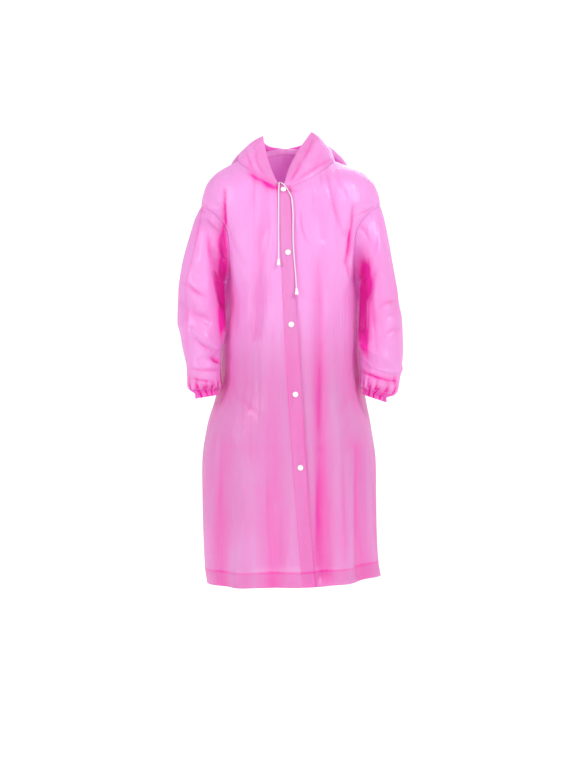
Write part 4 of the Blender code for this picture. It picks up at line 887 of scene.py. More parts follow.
def stood_on(points: Array, spot: Array, outward: Array) -> Array:
    """Points with their Z axis turned to outward and their origin moved to spot."""
    aside = unit(np.cross(np.array([0.0, 0.0, 1.0]) + 0.01 * outward[::-1], outward))
    upward = np.cross(outward, aside)
    return spot + points @ np.stack([aside, upward, outward])


# ==== the coat's form


@dataclass
class BodyForm:
    """The body's middle surface, between the hem at level 0 and the neck at 16."""

    levels: Array = field(default_factory=lambda: np.array([astuple(level)[1:] for level in LEVELS]))
    folds: list[Fold] = field(default_factory=lambda: BODY_FOLDS)

    def level(self, row: Array) -> Array:
        """The columns of the level table at any row, the columns first."""
        return np.moveaxis(monotone_curve(np.arange(len(self.levels)), self.levels, row), -1, 0)

    def fold_depth(self, bearing: Array, z: Array) -> Array:
        """Push of the folds: each is height * exp(-(d / width)^2) about its line.

        Args:
            bearing: degrees round the body from the front's middle.
            z: heights.

        Returns:
            The push outwards, the sum of every fold's.
        """
        depth = np.zeros(bearing.shape)
        for fold in self.folds:
            across = (np.mod(bearing - fold.top_deg + 180.0, 360.0) - 180.0) * DEGREE_LENGTH
            end = ((fold.bottom_deg - fold.top_deg) * DEGREE_LENGTH, fold.bottom_z)
            share, distance = from_line(across, z, (0.0, fold.top_z), end)
            height = fold.top_depth + (fold.bottom_depth - fold.top_depth) * share
            depth += height * np.exp(-(distance / (fold.width_deg * DEGREE_LENGTH)) ** 2)
        return depth

    def point(self, row: Array, angle: Array) -> Array:
        """Points at rows and angles.

        A level is |sin / reach|^p + |cos / depth|^p = r^-p, a squared-off oval whose
        widest line is the side; heights run from the front's to the side's as sin^2.

        Args:
            row: rows of the level table, whole or between two.
            angle: angles round it, 0 at the front and above 0 on the left.

        Returns:
            The points, in the shape that both make together.
        """
        row, angle = np.broadcast_arrays(np.asarray(row, float), np.asarray(angle, float))
        (z_front, z_right, z_left, z_back, y_front, y_back, y_wide, half_right, half_left,
         centre, _, power) = self.level(row)
        sine, cosine = np.sin(angle), np.cos(angle)
        reach = np.where(sine < 0.0, half_right, half_left)
        depth = np.where(cosine > 0.0, y_wide - y_front, y_back - y_wide)
        radius = ((np.abs(sine) / reach) ** power + (np.abs(cosine) / depth) ** power) ** (-1.0 / power)
        x, y = centre + radius * sine, y_wide - radius * cosine
        z = np.where(sine < 0.0, z_right, z_left) * sine ** 2 + np.where(cosine > 0.0, z_front, z_back) * cosine ** 2
        push = self.fold_depth(np.degrees(np.arctan2(x, -y)), z)
        return np.stack([x + push * sine, y - push * cosine, z], axis=-1)

    def normal(self, row: Array, angle: Array) -> Array:
        """Outward directions, from two short steps on the surface."""
        step = 0.02
        low, high = np.maximum(row - step, 0.0), np.minimum(row + step, float(NECK))
        up = self.point(high, angle) - self.point(low, angle)
        across = self.point(row, angle + step) - self.point(row, angle - step)
        return unit(np.cross(across, up))

    def angle_at(self, row: Array, offset: float) -> Array:
        """Angle of the front at an offset from the line of snaps: atan(x / depth)."""
        level = self.level(np.asarray(row, float))
        return np.arctan2(level[10] + offset - level[9], level[6] - level[4])

    def armhole_share(self, row: Array) -> Array:
        """Height in the armhole: 0 at the armpit and 1 at the shoulder's tip."""
        low, high = self.level(np.array([float(ARMPIT), float(TIP)]))[1]
        return np.clip((self.level(np.asarray(row, float))[1] - low) / (high - low), 0.0, 1.0)

    def side_angle(self, row: Array) -> Array:
        """Angle of the side seam or the armhole's edge, an upright ellipse."""
        share = self.armhole_share(row)
        return math.pi / 2.0 - ARMHOLE_HALF_ANGLE * 2.0 * np.sqrt(share * (1.0 - share))

    def armhole_rows(self, count: int) -> Array:
        """Rows from the armpit to the tip, half even and half by cosine in height."""
        fine = np.linspace(ARMPIT, TIP, 1201)
        even = np.linspace(0.0, 1.0, count + 1)
        share = (even + (1.0 - np.cos(math.pi * even)) / 2.0) / 2.0
        return np.interp(share, self.armhole_share(fine), fine)

    def rows_between(self, low: float, high: float, count: int) -> Array:
        """Rows from one level to another at even steps of the side's height."""
        fine = np.linspace(low, high, round(60 * (high - low)) + 1)
        height = self.level(fine)[1]
        return np.interp(np.linspace(height[0], height[-1], count + 1), height, fine)


# ==== finishes


class NodeBench:
    """Adds nodes to a tree and links them."""

    def __init__(self, tree: bpy.types.NodeTree) -> None:
        """Work on one node tree."""
        self.tree = tree

    def add(self, kind: str, values: dict | None = None, **options: object) -> bpy.types.Node:
        """Add a node.

        Args:
            kind: its type, such as ShaderNodeMix.
            values: what its inputs take: a number or colour, or a socket to link.
            options: its own settings.

        Returns:
            The node.
        """
        node = self.tree.nodes.new(kind)
        for option, value in options.items():
            setattr(node, option, value)
        for socket, value in (values or {}).items():
            if isinstance(value, bpy.types.NodeSocket):
                self.tree.links.new(value, node.inputs[socket])
            else:
                node.inputs[socket].default_value = value
        return node

    def sum(self, first: object, second: object, operation: str = "ADD", clamp: bool = False) -> bpy.types.NodeSocket:
        """The result of arithmetic on two numbers or sockets."""
        return self.add("ShaderNodeMath", {0: first, 1: second}, operation=operation, use_clamp=clamp).outputs[0]

    def noise(self, vector: object, scale: float, detail: float, distortion: float = 0.0) -> bpy.types.NodeSocket:
        """Fractal noise between 0 and 1."""
        return self.add("ShaderNodeTexNoise", {"Vector": vector, "Scale": scale, "Detail": detail,
                                               "Distortion": distortion}).outputs["Fac"]

    def attribute(self, name: str) -> bpy.types.NodeSocket:
        """A number that the piece carries at its points."""
        return self.add("ShaderNodeAttribute", attribute_name=name).outputs["Fac"]

    def blend(self, share: object, low: tuple | object, high: tuple | object) -> bpy.types.NodeSocket:
        """A colour between two."""
        return self.add("ShaderNodeMix", {0: share, 6: low, 7: high}, data_type="RGBA").outputs[2]

    def swing(self, value: object, amount: float) -> bpy.types.NodeSocket:
        """A noise of 0 to 1 made a swing about 0: (value - 0.5) * amount."""
        return self.sum(self.sum(value, 0.5, "SUBTRACT"), amount, "MULTIPLY")


def new_group(name: str, inputs: dict[str, str], outputs: dict[str, str]) -> tuple[NodeBench, object, object]:
    """A shader node group with named sockets.

    Args:
        name: its name.
        inputs: the kind of each input, such as Float.
        outputs: the kind of each output.

    Returns:
        Its bench, the sockets that it is given and the sockets that it puts out.
    """
    group = bpy.data.node_groups.new(name, "ShaderNodeTree")
    for socket, kind in inputs.items():
        group.interface.new_socket(socket, in_out="INPUT", socket_type=f"NodeSocket{kind}")
    for socket, kind in outputs.items():
        group.interface.new_socket(socket, in_out="OUTPUT", socket_type=f"NodeSocket{kind}")
    bench = NodeBench(group)
    return bench, bench.add("NodeGroupInput").outputs, bench.add("NodeGroupOutput").inputs


def film_tone_group() -> bpy.types.NodeTree:
    """What the frosted film shows at each place.

    A painted shade dims the light colour where the cloth hangs free. The tone is the piece's
    own, painted shade included, plus soft clouds and upright streaks, and carries the colour from light to deep
    and the cover from thin to dense. A fine grain frosts the roughness. The height is
    the streaks, a ripple, the facets of a crumpled film, which are cones about
    scattered points, a small crinkle and the grain.

    Returns:
        The group.
    """
    bench, given, out = new_group(
        "film_tone",
        {"Light": "Color", "Veiled": "Color", "Deep": "Color", "Tone": "Float", "Veil": "Float",
         "Thin": "Float", "Dense": "Float", "Frost": "Float", "Vector": "Vector"},
        {"Colour": "Color", "Roughness": "Float", "Height": "Float", "Cover": "Float"})
    vector = given["Vector"]
    clouds = bench.swing(bench.noise(vector, 9.0, 3.0), 0.22)
    upright = bench.add("ShaderNodeMapping", {"Vector": vector, "Scale": (1.0, 1.0, 0.10)}).outputs[0]
    streaks = bench.noise(upright, 48.0, 3.0, 0.5)
    tone = bench.sum(bench.sum(given["Tone"], clouds), bench.swing(streaks, 0.40), clamp=True)
    # Painted shade: the light colour is dimmed where the cloth hangs free.
    light = bench.blend(given["Veil"], given["Light"], given["Veiled"])
    cover = bench.add("ShaderNodeMix", {0: tone, 2: given["Thin"], 3: given["Dense"]}, data_type="FLOAT")
    grain = bench.noise(vector, 1300.0, 2.0)
    tall = bench.add("ShaderNodeMapping", {"Vector": vector, "Scale": (1.0, 1.0, 0.35)}).outputs[0]
    ripple = bench.noise(tall, 26.0, 2.0, 0.6)
    crinkle = bench.noise(vector, 120.0, 3.0, 0.8)
    bent = bench.add("ShaderNodeMapping", {"Vector": vector, "Rotation": (0.3, 0.5, 0.2), "Scale": (1.0, 1.0, 0.45)})
    facets = bench.add("ShaderNodeTexVoronoi", {"Vector": bent.outputs[0], "Scale": 15.0, "Randomness": 1.0})
    rough = bench.sum(bench.sum(given["Frost"], bench.swing(grain, 0.12)), bench.swing(clouds, 0.10))
    height = bench.swing(ripple, 1.0)
    for source, amount in ((crinkle, 0.16), (streaks, 0.9), (facets.outputs["Distance"], 1.6), (grain, 0.012)):
        height = bench.sum(height, bench.swing(source, amount))
    for socket, source in {"Colour": bench.blend(tone, light, given["Deep"]), "Roughness": rough,
                           "Height": height, "Cover": cover.outputs[0]}.items():
        bench.tree.links.new(source, out[socket])
    return bench.tree


def grain_group() -> bpy.types.NodeTree:
    """Slight unevenness of a plain finish: a mottled colour, roughness and height, with painted shade in the low
    places of a relief where one is given.

    Returns:
        The group.
    """
    bench, given, out = new_group(
        "surface_grain",
        {"Light": "Color", "Deep": "Color", "Relief": "Float", "Scale": "Float", "Frost": "Float",
         "Vector": "Vector"},
        {"Colour": "Color", "Roughness": "Float", "Height": "Float"})
    noise = bench.add("ShaderNodeTexNoise", {"Vector": given["Vector"], "Scale": given["Scale"], "Detail": 3.0})
    mottle = bench.swing(noise.outputs["Fac"], 0.5)
    # Painted shade: the colour deepens where the relief is low.
    tone = bench.sum(bench.sum(1.0, given["Relief"], "SUBTRACT"), mottle, clamp=True)
    for socket, source in {"Colour": bench.blend(tone, given["Light"], given["Deep"]),
                           "Roughness": bench.sum(given["Frost"], bench.sum(mottle, 0.2, "MULTIPLY")),
                           "Height": bench.sum(given["Relief"], bench.sum(mottle, 0.3, "MULTIPLY"))}.items():
        bench.tree.links.new(source, out[socket])
    return bench.tree


def new_material(name: str) -> tuple[Material, NodeBench]:
    """A material without nodes, and the bench of its tree."""
    made = bpy.data.materials.new(name)
    made.use_nodes = True
    made.node_tree.nodes.clear()
    return made, NodeBench(made.node_tree)


@dataclass(frozen=True)
class FilmFinish:
    """A frosted film: its light colour, its colour under painted shade where it hangs free, its deep colour, cover,
    gloss and glow.
    """

    name: str
    light: tuple[float, float, float]
    veiled: tuple[float, float, float]
    deep: tuple[float, float, float]
    thin: float
    dense: float
    frost: float
    glow: float
    relief: float

    def build(self, group: bpy.types.NodeTree) -> Material:
        """Make the material: a Principled film, part of its light passed on by Translucent.

        Args:
            group: the film's tone group.

        Returns:
            The material.
        """
        made, bench = new_material(self.name)
        film = bench.add("ShaderNodeGroup", {
            "Light": (*self.light, 1.0), "Veiled": (*self.veiled, 1.0), "Deep": (*self.deep, 1.0),
            "Thin": self.thin, "Dense": self.dense, "Frost": self.frost,
            "Tone": bench.attribute("tone"), "Veil": bench.attribute("veil"),
            "Vector": bench.add("ShaderNodeTexCoord").outputs["Object"]}, node_tree=group)
        bump = bench.add("ShaderNodeBump", {"Height": film.outputs["Height"], "Strength": 0.9,
                                            "Distance": self.relief})
        cloth = bench.add("ShaderNodeBsdfPrincipled", {
            "Base Color": film.outputs["Colour"], "Roughness": film.outputs["Roughness"],
            "Alpha": film.outputs["Cover"], "Normal": bump.outputs[0], "IOR": 1.46,
            "Sheen Weight": 0.15, "Sheen Roughness": 0.5, "Sheen Tint": (1.0, 0.85, 0.95, 1.0)})
        passed = bench.add("ShaderNodeBsdfTranslucent", {"Color": film.outputs["Colour"], "Normal": bump.outputs[0]})
        mixed = bench.add("ShaderNodeMixShader", {0: self.glow, 1: cloth.outputs[0], 2: passed.outputs[0]})
        bench.add("ShaderNodeOutputMaterial", {"Surface": mixed.outputs[0]})
        return made


@dataclass(frozen=True)
class PlainFinish:
    """A solid finish: moulded plastic, braid or thread."""

    name: str
    light: tuple[float, float, float]
    deep: tuple[float, float, float]
    frost: float
    scale: float
    relief: float
    coat: float = 0.0
    shine: float = 0.5
    carried: bool = False

    def build(self, group: bpy.types.NodeTree) -> Material:
        """Make the material, its relief and the painted shade in the relief's low places read from the piece's tone
        where it carries one.

        Args:
            group: the grain group.

        Returns:
            The material.
        """
        made, bench = new_material(self.name)
        grain = bench.add("ShaderNodeGroup", {
            "Light": (*self.light, 1.0), "Deep": (*self.deep, 1.0), "Scale": self.scale, "Frost": self.frost,
            "Relief": bench.attribute("tone") if self.carried else 1.0,
            "Vector": bench.add("ShaderNodeTexCoord").outputs["Object"]}, node_tree=group)
        bump = bench.add("ShaderNodeBump", {"Height": grain.outputs["Height"], "Strength": 0.4,
                                            "Distance": self.relief})
        solid = bench.add("ShaderNodeBsdfPrincipled", {
            "Base Color": grain.outputs["Colour"], "Roughness": grain.outputs["Roughness"],
            "Normal": bump.outputs[0], "Coat Weight": self.coat, "Coat Roughness": 0.15,
            "Specular IOR Level": self.shine})
        bench.add("ShaderNodeOutputMaterial", {"Surface": solid.outputs[0]})
        return made


@dataclass
class Finishes:
    """Every material of the coat."""

    film: Material
    doubled: Material
    seam: Material
    plastic: Material
    braid: Material
    thread: Material

    @classmethod
    def make(cls) -> "Finishes":
        """Build the groups once and each finish from its own values."""
        film, grain = film_tone_group(), grain_group()
        # The deep colour that tone leads to: the colour of doubled film and of the painted shade in creases, folds and
        # hollows.
        magenta = (0.94, 0.02, 0.50)
        return cls(
            film=FilmFinish(
                "frosted_pink_film", light=(0.965, 0.53, 0.91), veiled=(0.83, 0.48, 0.78), deep=magenta,
                thin=0.62, dense=0.92, frost=0.32, glow=0.30, relief=0.0042).build(film),
            doubled=FilmFinish(
                "doubled_pink_film", light=(0.995, 0.34, 0.86), veiled=(0.90, 0.36, 0.78), deep=magenta,
                thin=0.42, dense=0.90, frost=0.34, glow=0.42, relief=0.0015).build(film),
            seam=FilmFinish(
                "welded_pink_seam", light=(0.975, 0.46, 0.88), veiled=(0.90, 0.42, 0.80), deep=magenta,
                thin=0.60, dense=0.95, frost=0.30, glow=0.34, relief=0.0004).build(film),
            plastic=PlainFinish(
                "moulded_white_plastic", light=(0.90, 0.86, 0.88), deep=(0.84, 0.80, 0.83),
                frost=0.26, scale=160.0, relief=0.0002, coat=0.35).build(grain),
            # The braid's deep colour is the painted shade between its strands.
            braid=PlainFinish(
                "braided_white_cord", light=(0.92, 0.84, 0.88), deep=(0.62, 0.46, 0.56),
                frost=0.72, scale=900.0, relief=0.0003, shine=0.3, carried=True).build(grain),
            thread=PlainFinish(
                "pink_thread", light=(0.93, 0.30, 0.70), deep=(0.82, 0.14, 0.52),
                frost=0.55, scale=1500.0, relief=0.0001).build(grain))


# ==== sub-assemblies


@dataclass
class Body:
    """The two fronts and the back, with their facings."""

    form: BodyForm
    finishes: Finishes
    front_columns: int = 72
    band_columns: int = 12
    back_columns: int = 130
    hem_steps: int = 12
    skirt_steps: int = 118
    armhole_steps: int = 80
    shoulder_steps: int = 40
    front_right: Surface = field(init=False)
    front_left: Surface = field(init=False)
    back: Surface = field(init=False)

    def __post_init__(self) -> None:
        """Work out the three panels."""
        form = self.form
        self.rows = np.concatenate([
            form.rows_between(0.0, HEM_TOP, self.hem_steps),
            form.rows_between(HEM_TOP, ARMPIT, self.skirt_steps)[1:-1],
            form.armhole_rows(self.armhole_steps),
            form.rows_between(TIP, NECK, self.shoulder_steps)[1:]])
        self.armhole = slice(self.hem_steps + self.skirt_steps,
                             self.hem_steps + self.skirt_steps + self.armhole_steps + 1)
        side = form.side_angle(self.rows)[:, None]
        self.band = np.stack([form.angle_at(self.rows, offset)
                              for offset in np.linspace(-BAND_HALF, BAND_HALF, self.band_columns + 1)], axis=1)
        share = edge_dense(self.front_columns)
        self.right_angles = np.hstack([-side + (self.band[:, :1] + side) * share, self.band[:, 1:]])
        self.left_angles = np.hstack([self.band[:, :-1], self.band[:, -1:] + (side - self.band[:, -1:]) * share])
        lap = np.concatenate([np.full(self.band_columns, LAP), LAP * (1.0 - smoothstep(0.0, 0.2, share))])
        rows = self.rows[:, None]
        self.front_right = Surface(form.point(rows, self.right_angles))
        under = form.point(rows, self.left_angles)
        self.front_left = Surface(under - form.normal(rows, self.left_angles) * lap[:, None])
        share = edge_dense(self.back_columns, 0.004)
        self.back = Surface(form.point(rows, math.pi - side + 2.0 * side * share))
        for panel in (self.front_right, self.front_left, self.back):
            # Painted shade on the skirt, in the folds' hollows and beside the sleeves.
            panel.tone += self.fall_tone(panel.points)
            panel.creased(FRONT_CREASES, BACK_CREASES)
            # Painted shade: the film dims from the ribs down to the hips and stays dimmed below, where it hangs free.
            panel.veil[:] = smoothstep(-0.36, -0.62, panel.points[..., 2])
            panel.tone[:self.hem_steps + 1] += HEM_TONE
            panel.tone[self.hem_steps] += HEM_LINE_TONE
        first = -self.band_columns - 1
        # No painted hanging shade on the snap band.
        self.front_right.veil[:, first:] = 0.0
        self.front_right.tone[:, first:] += BAND_TONE
        self.front_right.tone[:, [first, -2]] += BAND_LINE_TONE

    def fall_tone(self, points: Array) -> Array:
        """Painted shade: deeper in the skirt, in the hollows of the long folds and beside the sleeves, and a little
        lighter on the folds' ridges.

        Args:
            points: the surface's points.

        Returns:
            The painted shade of every point.
        """
        x, y, z = np.moveaxis(points, -1, 0)
        bearing = np.degrees(np.arctan2(x, -y))
        side = np.exp(-((np.abs(bearing) - 88.0) / 17.0) ** 2)
        beside = side * smoothstep(-0.20, -0.30, z) * smoothstep(-0.72, -0.58, z)
        folds = np.clip(-self.form.fold_depth(bearing, z) / FULL_FOLD, -0.3, 1.0)
        return SKIRT_SHADE * smoothstep(-0.38, -0.60, z) + FOLD_SHADE * folds + BESIDE_SHADE * beside

    def armhole_loop(self, side: Side) -> Array:
        """The armhole's edge from the shoulder's tip down the front and up the back."""
        front, back = ((self.front_right.points[:, 0], self.back.points[:, -1]) if side is Side.RIGHT
                       else (self.front_left.points[:, -1], self.back.points[:, 0]))
        return np.vstack([front[self.armhole][::-1], back[self.armhole][1:-1]])

    def neck_seam(self, side: Side) -> tuple[Array, Array]:
        """One half of the neck seam, from the throat to the nape.

        Args:
            side: which half.

        Returns:
            Its points and their angles.
        """
        middle, count = self.back_columns // 2, self.front_columns
        back = self.back.points[-1]
        quarter = math.pi / 2.0 + math.pi / 2.0 * edge_dense(self.back_columns, 0.004)[1:middle + 1] * 2.0
        if side is Side.RIGHT:
            points = np.vstack([self.front_right.points[-1][count::-1], back[:middle - 1:-1][1:]])
            return points, np.concatenate([self.right_angles[-1][count::-1], -quarter])
        start = self.band_columns // 2
        points = np.vstack([self.front_left.points[-1][start:], back[1:middle + 1]])
        return points, np.concatenate([self.left_angles[-1][start:], quarter])

    def build(self) -> dict[str, Piece]:
        """Make the panels and the strips behind them.

        Returns:
            The pieces by the node that each stands for.
        """
        hem, top, band = slice(0, self.hem_steps + 1), slice(0, -2), self.band_columns
        right, left, back = self.front_right, self.front_left, self.back
        strips = {
            "placket_right": (right, top, slice(-band - 1, None)),
            "placket_left": (left, top, slice(0, band + 1)),
            "hem_right": (right, hem, slice(1, -band - 1)),
            "hem_left": (left, hem, slice(band + 1, -1)),
            "hem_back": (back, hem, slice(1, -1)),
        }
        made = {node: add_film(f"film_{node}", panel, self.finishes.film, node)
                for node, panel in (("front_right", right), ("front_left", left), ("back", back))}
        for node, (panel, rows, columns) in strips.items():
            made[node] = add_film(f"facing_{node}", panel.layer(LAYER, rows, columns, FACING_TONE),
                                  self.finishes.doubled, node)
        return made


@dataclass
class Sleeve:
    """A sleeve from its armhole to the gathers, with the elastic cuff."""

    side: Side
    loop: Array
    finishes: Finishes
    waves: int = 13
    steps: int = 150
    cuff_steps: int = 34
    sleeve: Surface = field(init=False)
    cuff: Surface = field(init=False)

    def __post_init__(self) -> None:
        """Work out the two tubes."""
        rings = SLEEVE_RINGS[self.side]
        self.table = np.array([astuple(ring)[1:] for ring in rings])
        centres = np.vstack([self.loop.mean(axis=0), np.stack([
            (self.table[:, 0] + self.table[:, 2]) / 2.0, (self.table[:, 4] + self.table[:, 5]) / 2.0,
            (self.table[:, 1] + self.table[:, 3]) / 2.0], axis=1)])
        self.lengths = path_lengths(centres)
        columns = len(self.loop)
        turn = np.arange(columns) / columns
        place = np.linspace(0.0, SLEEVE_END, self.steps + 1)[:, None]
        points = self.ring(np.maximum(place, 1.0), turn)
        first = np.minimum(place, 1.0)[..., None]
        cap, beyond = self.ring(np.array([[1.0]]), turn), self.ring(np.array([[1.5]]), turn)
        blended = self.loop * (1.0 - first) + cap * first + 0.5 * first * (1.0 - first) * (cap - beyond)
        points = np.where(first < 1.0, blended, points)
        points = points + self.outward(points) * (self.fold_depth(place, turn)
                                                  * smoothstep(0.0, 0.5, place))[..., None]
        self.sleeve = Surface(points[::-1], closed=True).facing_out()
        self.sleeve.creased(SLEEVE_FRONT_CREASES[self.side],
                            SLEEVE_BACK_CREASES if self.side is Side.RIGHT else mirrored(SLEEVE_BACK_CREASES))
        drawn_in = smoothstep(*GATHERS, np.linspace(SLEEVE_END, 0.0, self.steps + 1))[:, None]
        # The drawn-in film is deeper, with painted shade in the gathers' hollows.
        self.sleeve.tone += SLEEVE_TONE + (GATHER_TONE + self.trough(self.sleeve)) * drawn_in
        turn = np.arange(2 * columns) / (2 * columns)
        place = np.linspace(SLEEVE_END, CUFF_END, self.cuff_steps + 1)[:, None]
        points = self.ring(place, turn)
        points = points + self.outward(points) * self.fold_depth(place, turn)[..., None]
        self.cuff = Surface(points[::-1], closed=True).facing_out()
        # Painted shade in the cuff's gathered hollows.
        self.cuff.tone += CUFF_TONE + self.trough(self.cuff)

    def ring(self, place: Array, turn: Array) -> Array:
        """Rings of the tube: ovals between the table's edges, with gathers.

        A point is centre + half width * cos, depth middle - half depth * sin, and the
        gathers push it out by -gather * bunch, uneven waves that lean as they fall.

        Args:
            place: rows of the ring table, whole or between two.
            turn: shares of a turn, 0 on the outer side.

        Returns:
            The points, in the shape that both make together.
        """
        x_out, z_out, x_in, z_in, y_front, y_back, gather = np.moveaxis(
            monotone_curve(np.arange(1, len(self.table) + 1), self.table, place), -1, 0)
        angle = turn * 2.0 * math.pi
        x = (x_out + x_in) / 2.0 + (x_out - x_in) / 2.0 * np.cos(angle)
        z = (z_out + z_in) / 2.0 + (z_out - z_in) / 2.0 * np.cos(angle)
        y = (y_front + y_back) / 2.0 - (y_back - y_front) / 2.0 * np.sin(angle)
        points = np.stack([x, y, z], axis=-1)
        return points - self.outward(points) * (gather * self.bunch(place, angle))[..., None]

    def bunch(self, place: Array, angle: Array) -> Array:
        """The gathers' wave: two families of n and 1.6 n pleats, their pitch and height uneven."""
        uneven = 1.0 + 0.45 * np.sin(3.0 * angle + 0.7 * self.side.value)
        broad = np.cos(self.waves * angle + 1.3 * np.sin(2.0 * angle + 1.0) + 0.5 * place)
        close = np.cos(round(self.waves * 1.6) * angle + 1.8 * np.sin(3.0 * angle) - 1.4 * place)
        return uneven * (0.75 * broad + 0.45 * close)

    @staticmethod
    def trough(surface: Surface) -> Array:
        """Painted shade in the gathers' hollows and a painted highlight on their crests: how far a point lies inside
        the mean of its ring nearby.
        """
        reach = np.linalg.norm(surface.points - surface.points.mean(axis=1, keepdims=True), axis=2)
        width = max(3, surface.points.shape[1] // 16)
        near = sum(np.roll(reach, step, axis=1) for step in range(-width, width + 1)) / (2 * width + 1)
        return np.clip((near - reach) / 0.003, -0.25, 0.8)

    @staticmethod
    def outward(points: Array) -> Array:
        """Directions away from each ring's middle."""
        return unit(points - points.mean(axis=-2, keepdims=True))

    def fold_depth(self, place: Array, turn: Array) -> Array:
        """Push of the folds: each is depth * exp(-(d / width)^2) about its line.

        Args:
            place: rows of the ring table.
            turn: shares of a turn.

        Returns:
            The push outwards, the sum of every fold's.
        """
        index = np.arange(len(self.lengths))
        down = np.interp(place, index, self.lengths)
        depth = np.zeros(np.broadcast(place, turn).shape)
        for fold in SLEEVE_FOLDS[self.side]:
            start, end = np.interp([fold.start_ring, fold.end_ring], index, self.lengths)
            _, distance = from_line(down, turn * SLEEVE_GIRTH, (start, fold.start_turn * SLEEVE_GIRTH),
                                    (end, fold.end_turn * SLEEVE_GIRTH))
            depth += fold.depth * np.exp(-(distance / fold.width) ** 2)
        return depth

    def build(self) -> dict[str, Piece]:
        """Make the sleeve and its cuff, by the node that each stands for."""
        sleeve, cuff = f"sleeve_{self.side.word}", f"cuff_{self.side.word}"
        return {sleeve: add_film(f"film_{sleeve}", self.sleeve, self.finishes.film, sleeve),
                cuff: add_film(f"film_{cuff}", self.cuff, self.finishes.doubled, cuff)}


@dataclass
class HoodHalf:
    """Half of the hood, standing at the throat and fallen back in a pouch behind."""

    side: Side
    form: BodyForm
    seam: Array
    angles: Array
    finishes: Finishes
    rows: int = 64
    casing_rows: int = 14
    path_steps: int = 120
    hood: Surface = field(init=False)
    casing: Surface = field(init=False)

    def __post_init__(self) -> None:
        """Space each column's path into the rows of the hood and its casing."""
        paths = self.column_paths()
        lengths = []
        for path in paths:
            total = path_lengths(path)[-1]
            edge = min(CASING_WIDTH, 0.6 * total)
            lengths.append(np.concatenate([np.linspace(0.0, total - edge, self.rows + 1),
                                           np.linspace(total - edge, total, self.casing_rows + 1)[1:]]))
        grid = np.stack([spaced(path, length) for path, length in zip(paths, lengths)], axis=1)
        if self.side is Side.RIGHT:
            grid = grid[:, ::-1]
        self.hood = Surface(grid).creased(HOOD_CREASES[self.side], [], 0.006)
        self.hood.tone += HOOD_TONE
        belly = np.zeros(len(grid))
        belly[self.rows:] = np.sin(np.linspace(0.0, math.pi, self.casing_rows + 1))
        throat = 14
        columns = slice(0, -throat) if self.side is Side.RIGHT else slice(throat, None)
        self.casing = self.hood.layer((LAYER + CASING_BELLY * belly)[:, None], slice(self.rows, None), columns,
                                      CASING_TONE)
        self.hood.tone[self.rows:] += CASING_TONE

    def pouch(self) -> Array:
        """Knots of the fallen hood, measured off the back's surface.

        Returns:
            The knots, with one column for each of the seam's points.
        """
        degrees = np.abs(np.degrees(self.angles))
        full = smoothstep(POUCH_SIDE_DEG, POUCH_FULL_DEG, degrees)
        drop, lift, rise = np.array([astuple(point)[1:] for point in POUCH]).T[..., None]
        rows = NECK - drop * (POUCH_DEPTH_SIDE + (POUCH_DEPTH_BACK - POUCH_DEPTH_SIDE) * full)
        angles = np.broadcast_to(self.angles, rows.shape)
        points = self.form.point(rows, angles)
        points = points + self.form.normal(rows, angles) * (lift * (0.45 + 0.55 * full))[..., None]
        points[..., 2] += rise
        return points

    def column_paths(self) -> Array:
        """Fine paths from the seam to the rim.

        At the front a column is the straight line to the rim with a small crown,
        4 s (1 - s) times its height. Behind the neck it follows the pouch, moved to
        end on the rim, and between 85 and 125 degrees it passes from one to the other.

        Returns:
            One path for each of the seam's points.
        """
        along = path_lengths(self.seam)
        rim = np.array([astuple(point)[1:] for point in RIMS[self.side]])
        edge = monotone_curve(rim[:, 0], rim[:, 1:], along / along[-1])
        steps = np.linspace(0.0, 1.0, self.path_steps + 1)[None, :, None]
        outward = unit(np.stack([np.sin(self.angles), -np.cos(self.angles), np.full(len(self.angles), 1.2)], axis=1))
        length = np.linalg.norm(edge - self.seam, axis=1)
        crown = np.minimum(HOOD_BULGE, 0.12 * length)[:, None, None] * 4.0 * steps * (1.0 - steps)
        start, end = self.seam[:, None], edge[:, None]
        direct = start + (end - start) * steps + outward[:, None] * crown
        knots = self.pouch().transpose(1, 0, 2)
        knots = knots + (start - knots[:, :1])
        fallen = np.stack([smooth_path(column, self.path_steps + 1) for column in knots])
        fallen = fallen + (end - fallen[:, -1:]) * smoothstep(0.5, 1.0, steps)
        blend = smoothstep(85.0, 125.0, np.abs(np.degrees(self.angles)))[:, None, None]
        return direct * (1.0 - blend) + fallen * blend

    def build(self) -> dict[str, Piece]:
        """Make the hood half and the casing strip in its edge, by the node that each stands for."""
        hood, casing = f"hood_{self.side.word}", f"hood_casing_{self.side.word}"
        return {hood: add_film(f"film_{hood}", self.hood, self.finishes.film, hood),
                casing: add_film(f"casing_film_{self.side.word}", self.casing, self.finishes.doubled,
                                 casing)}


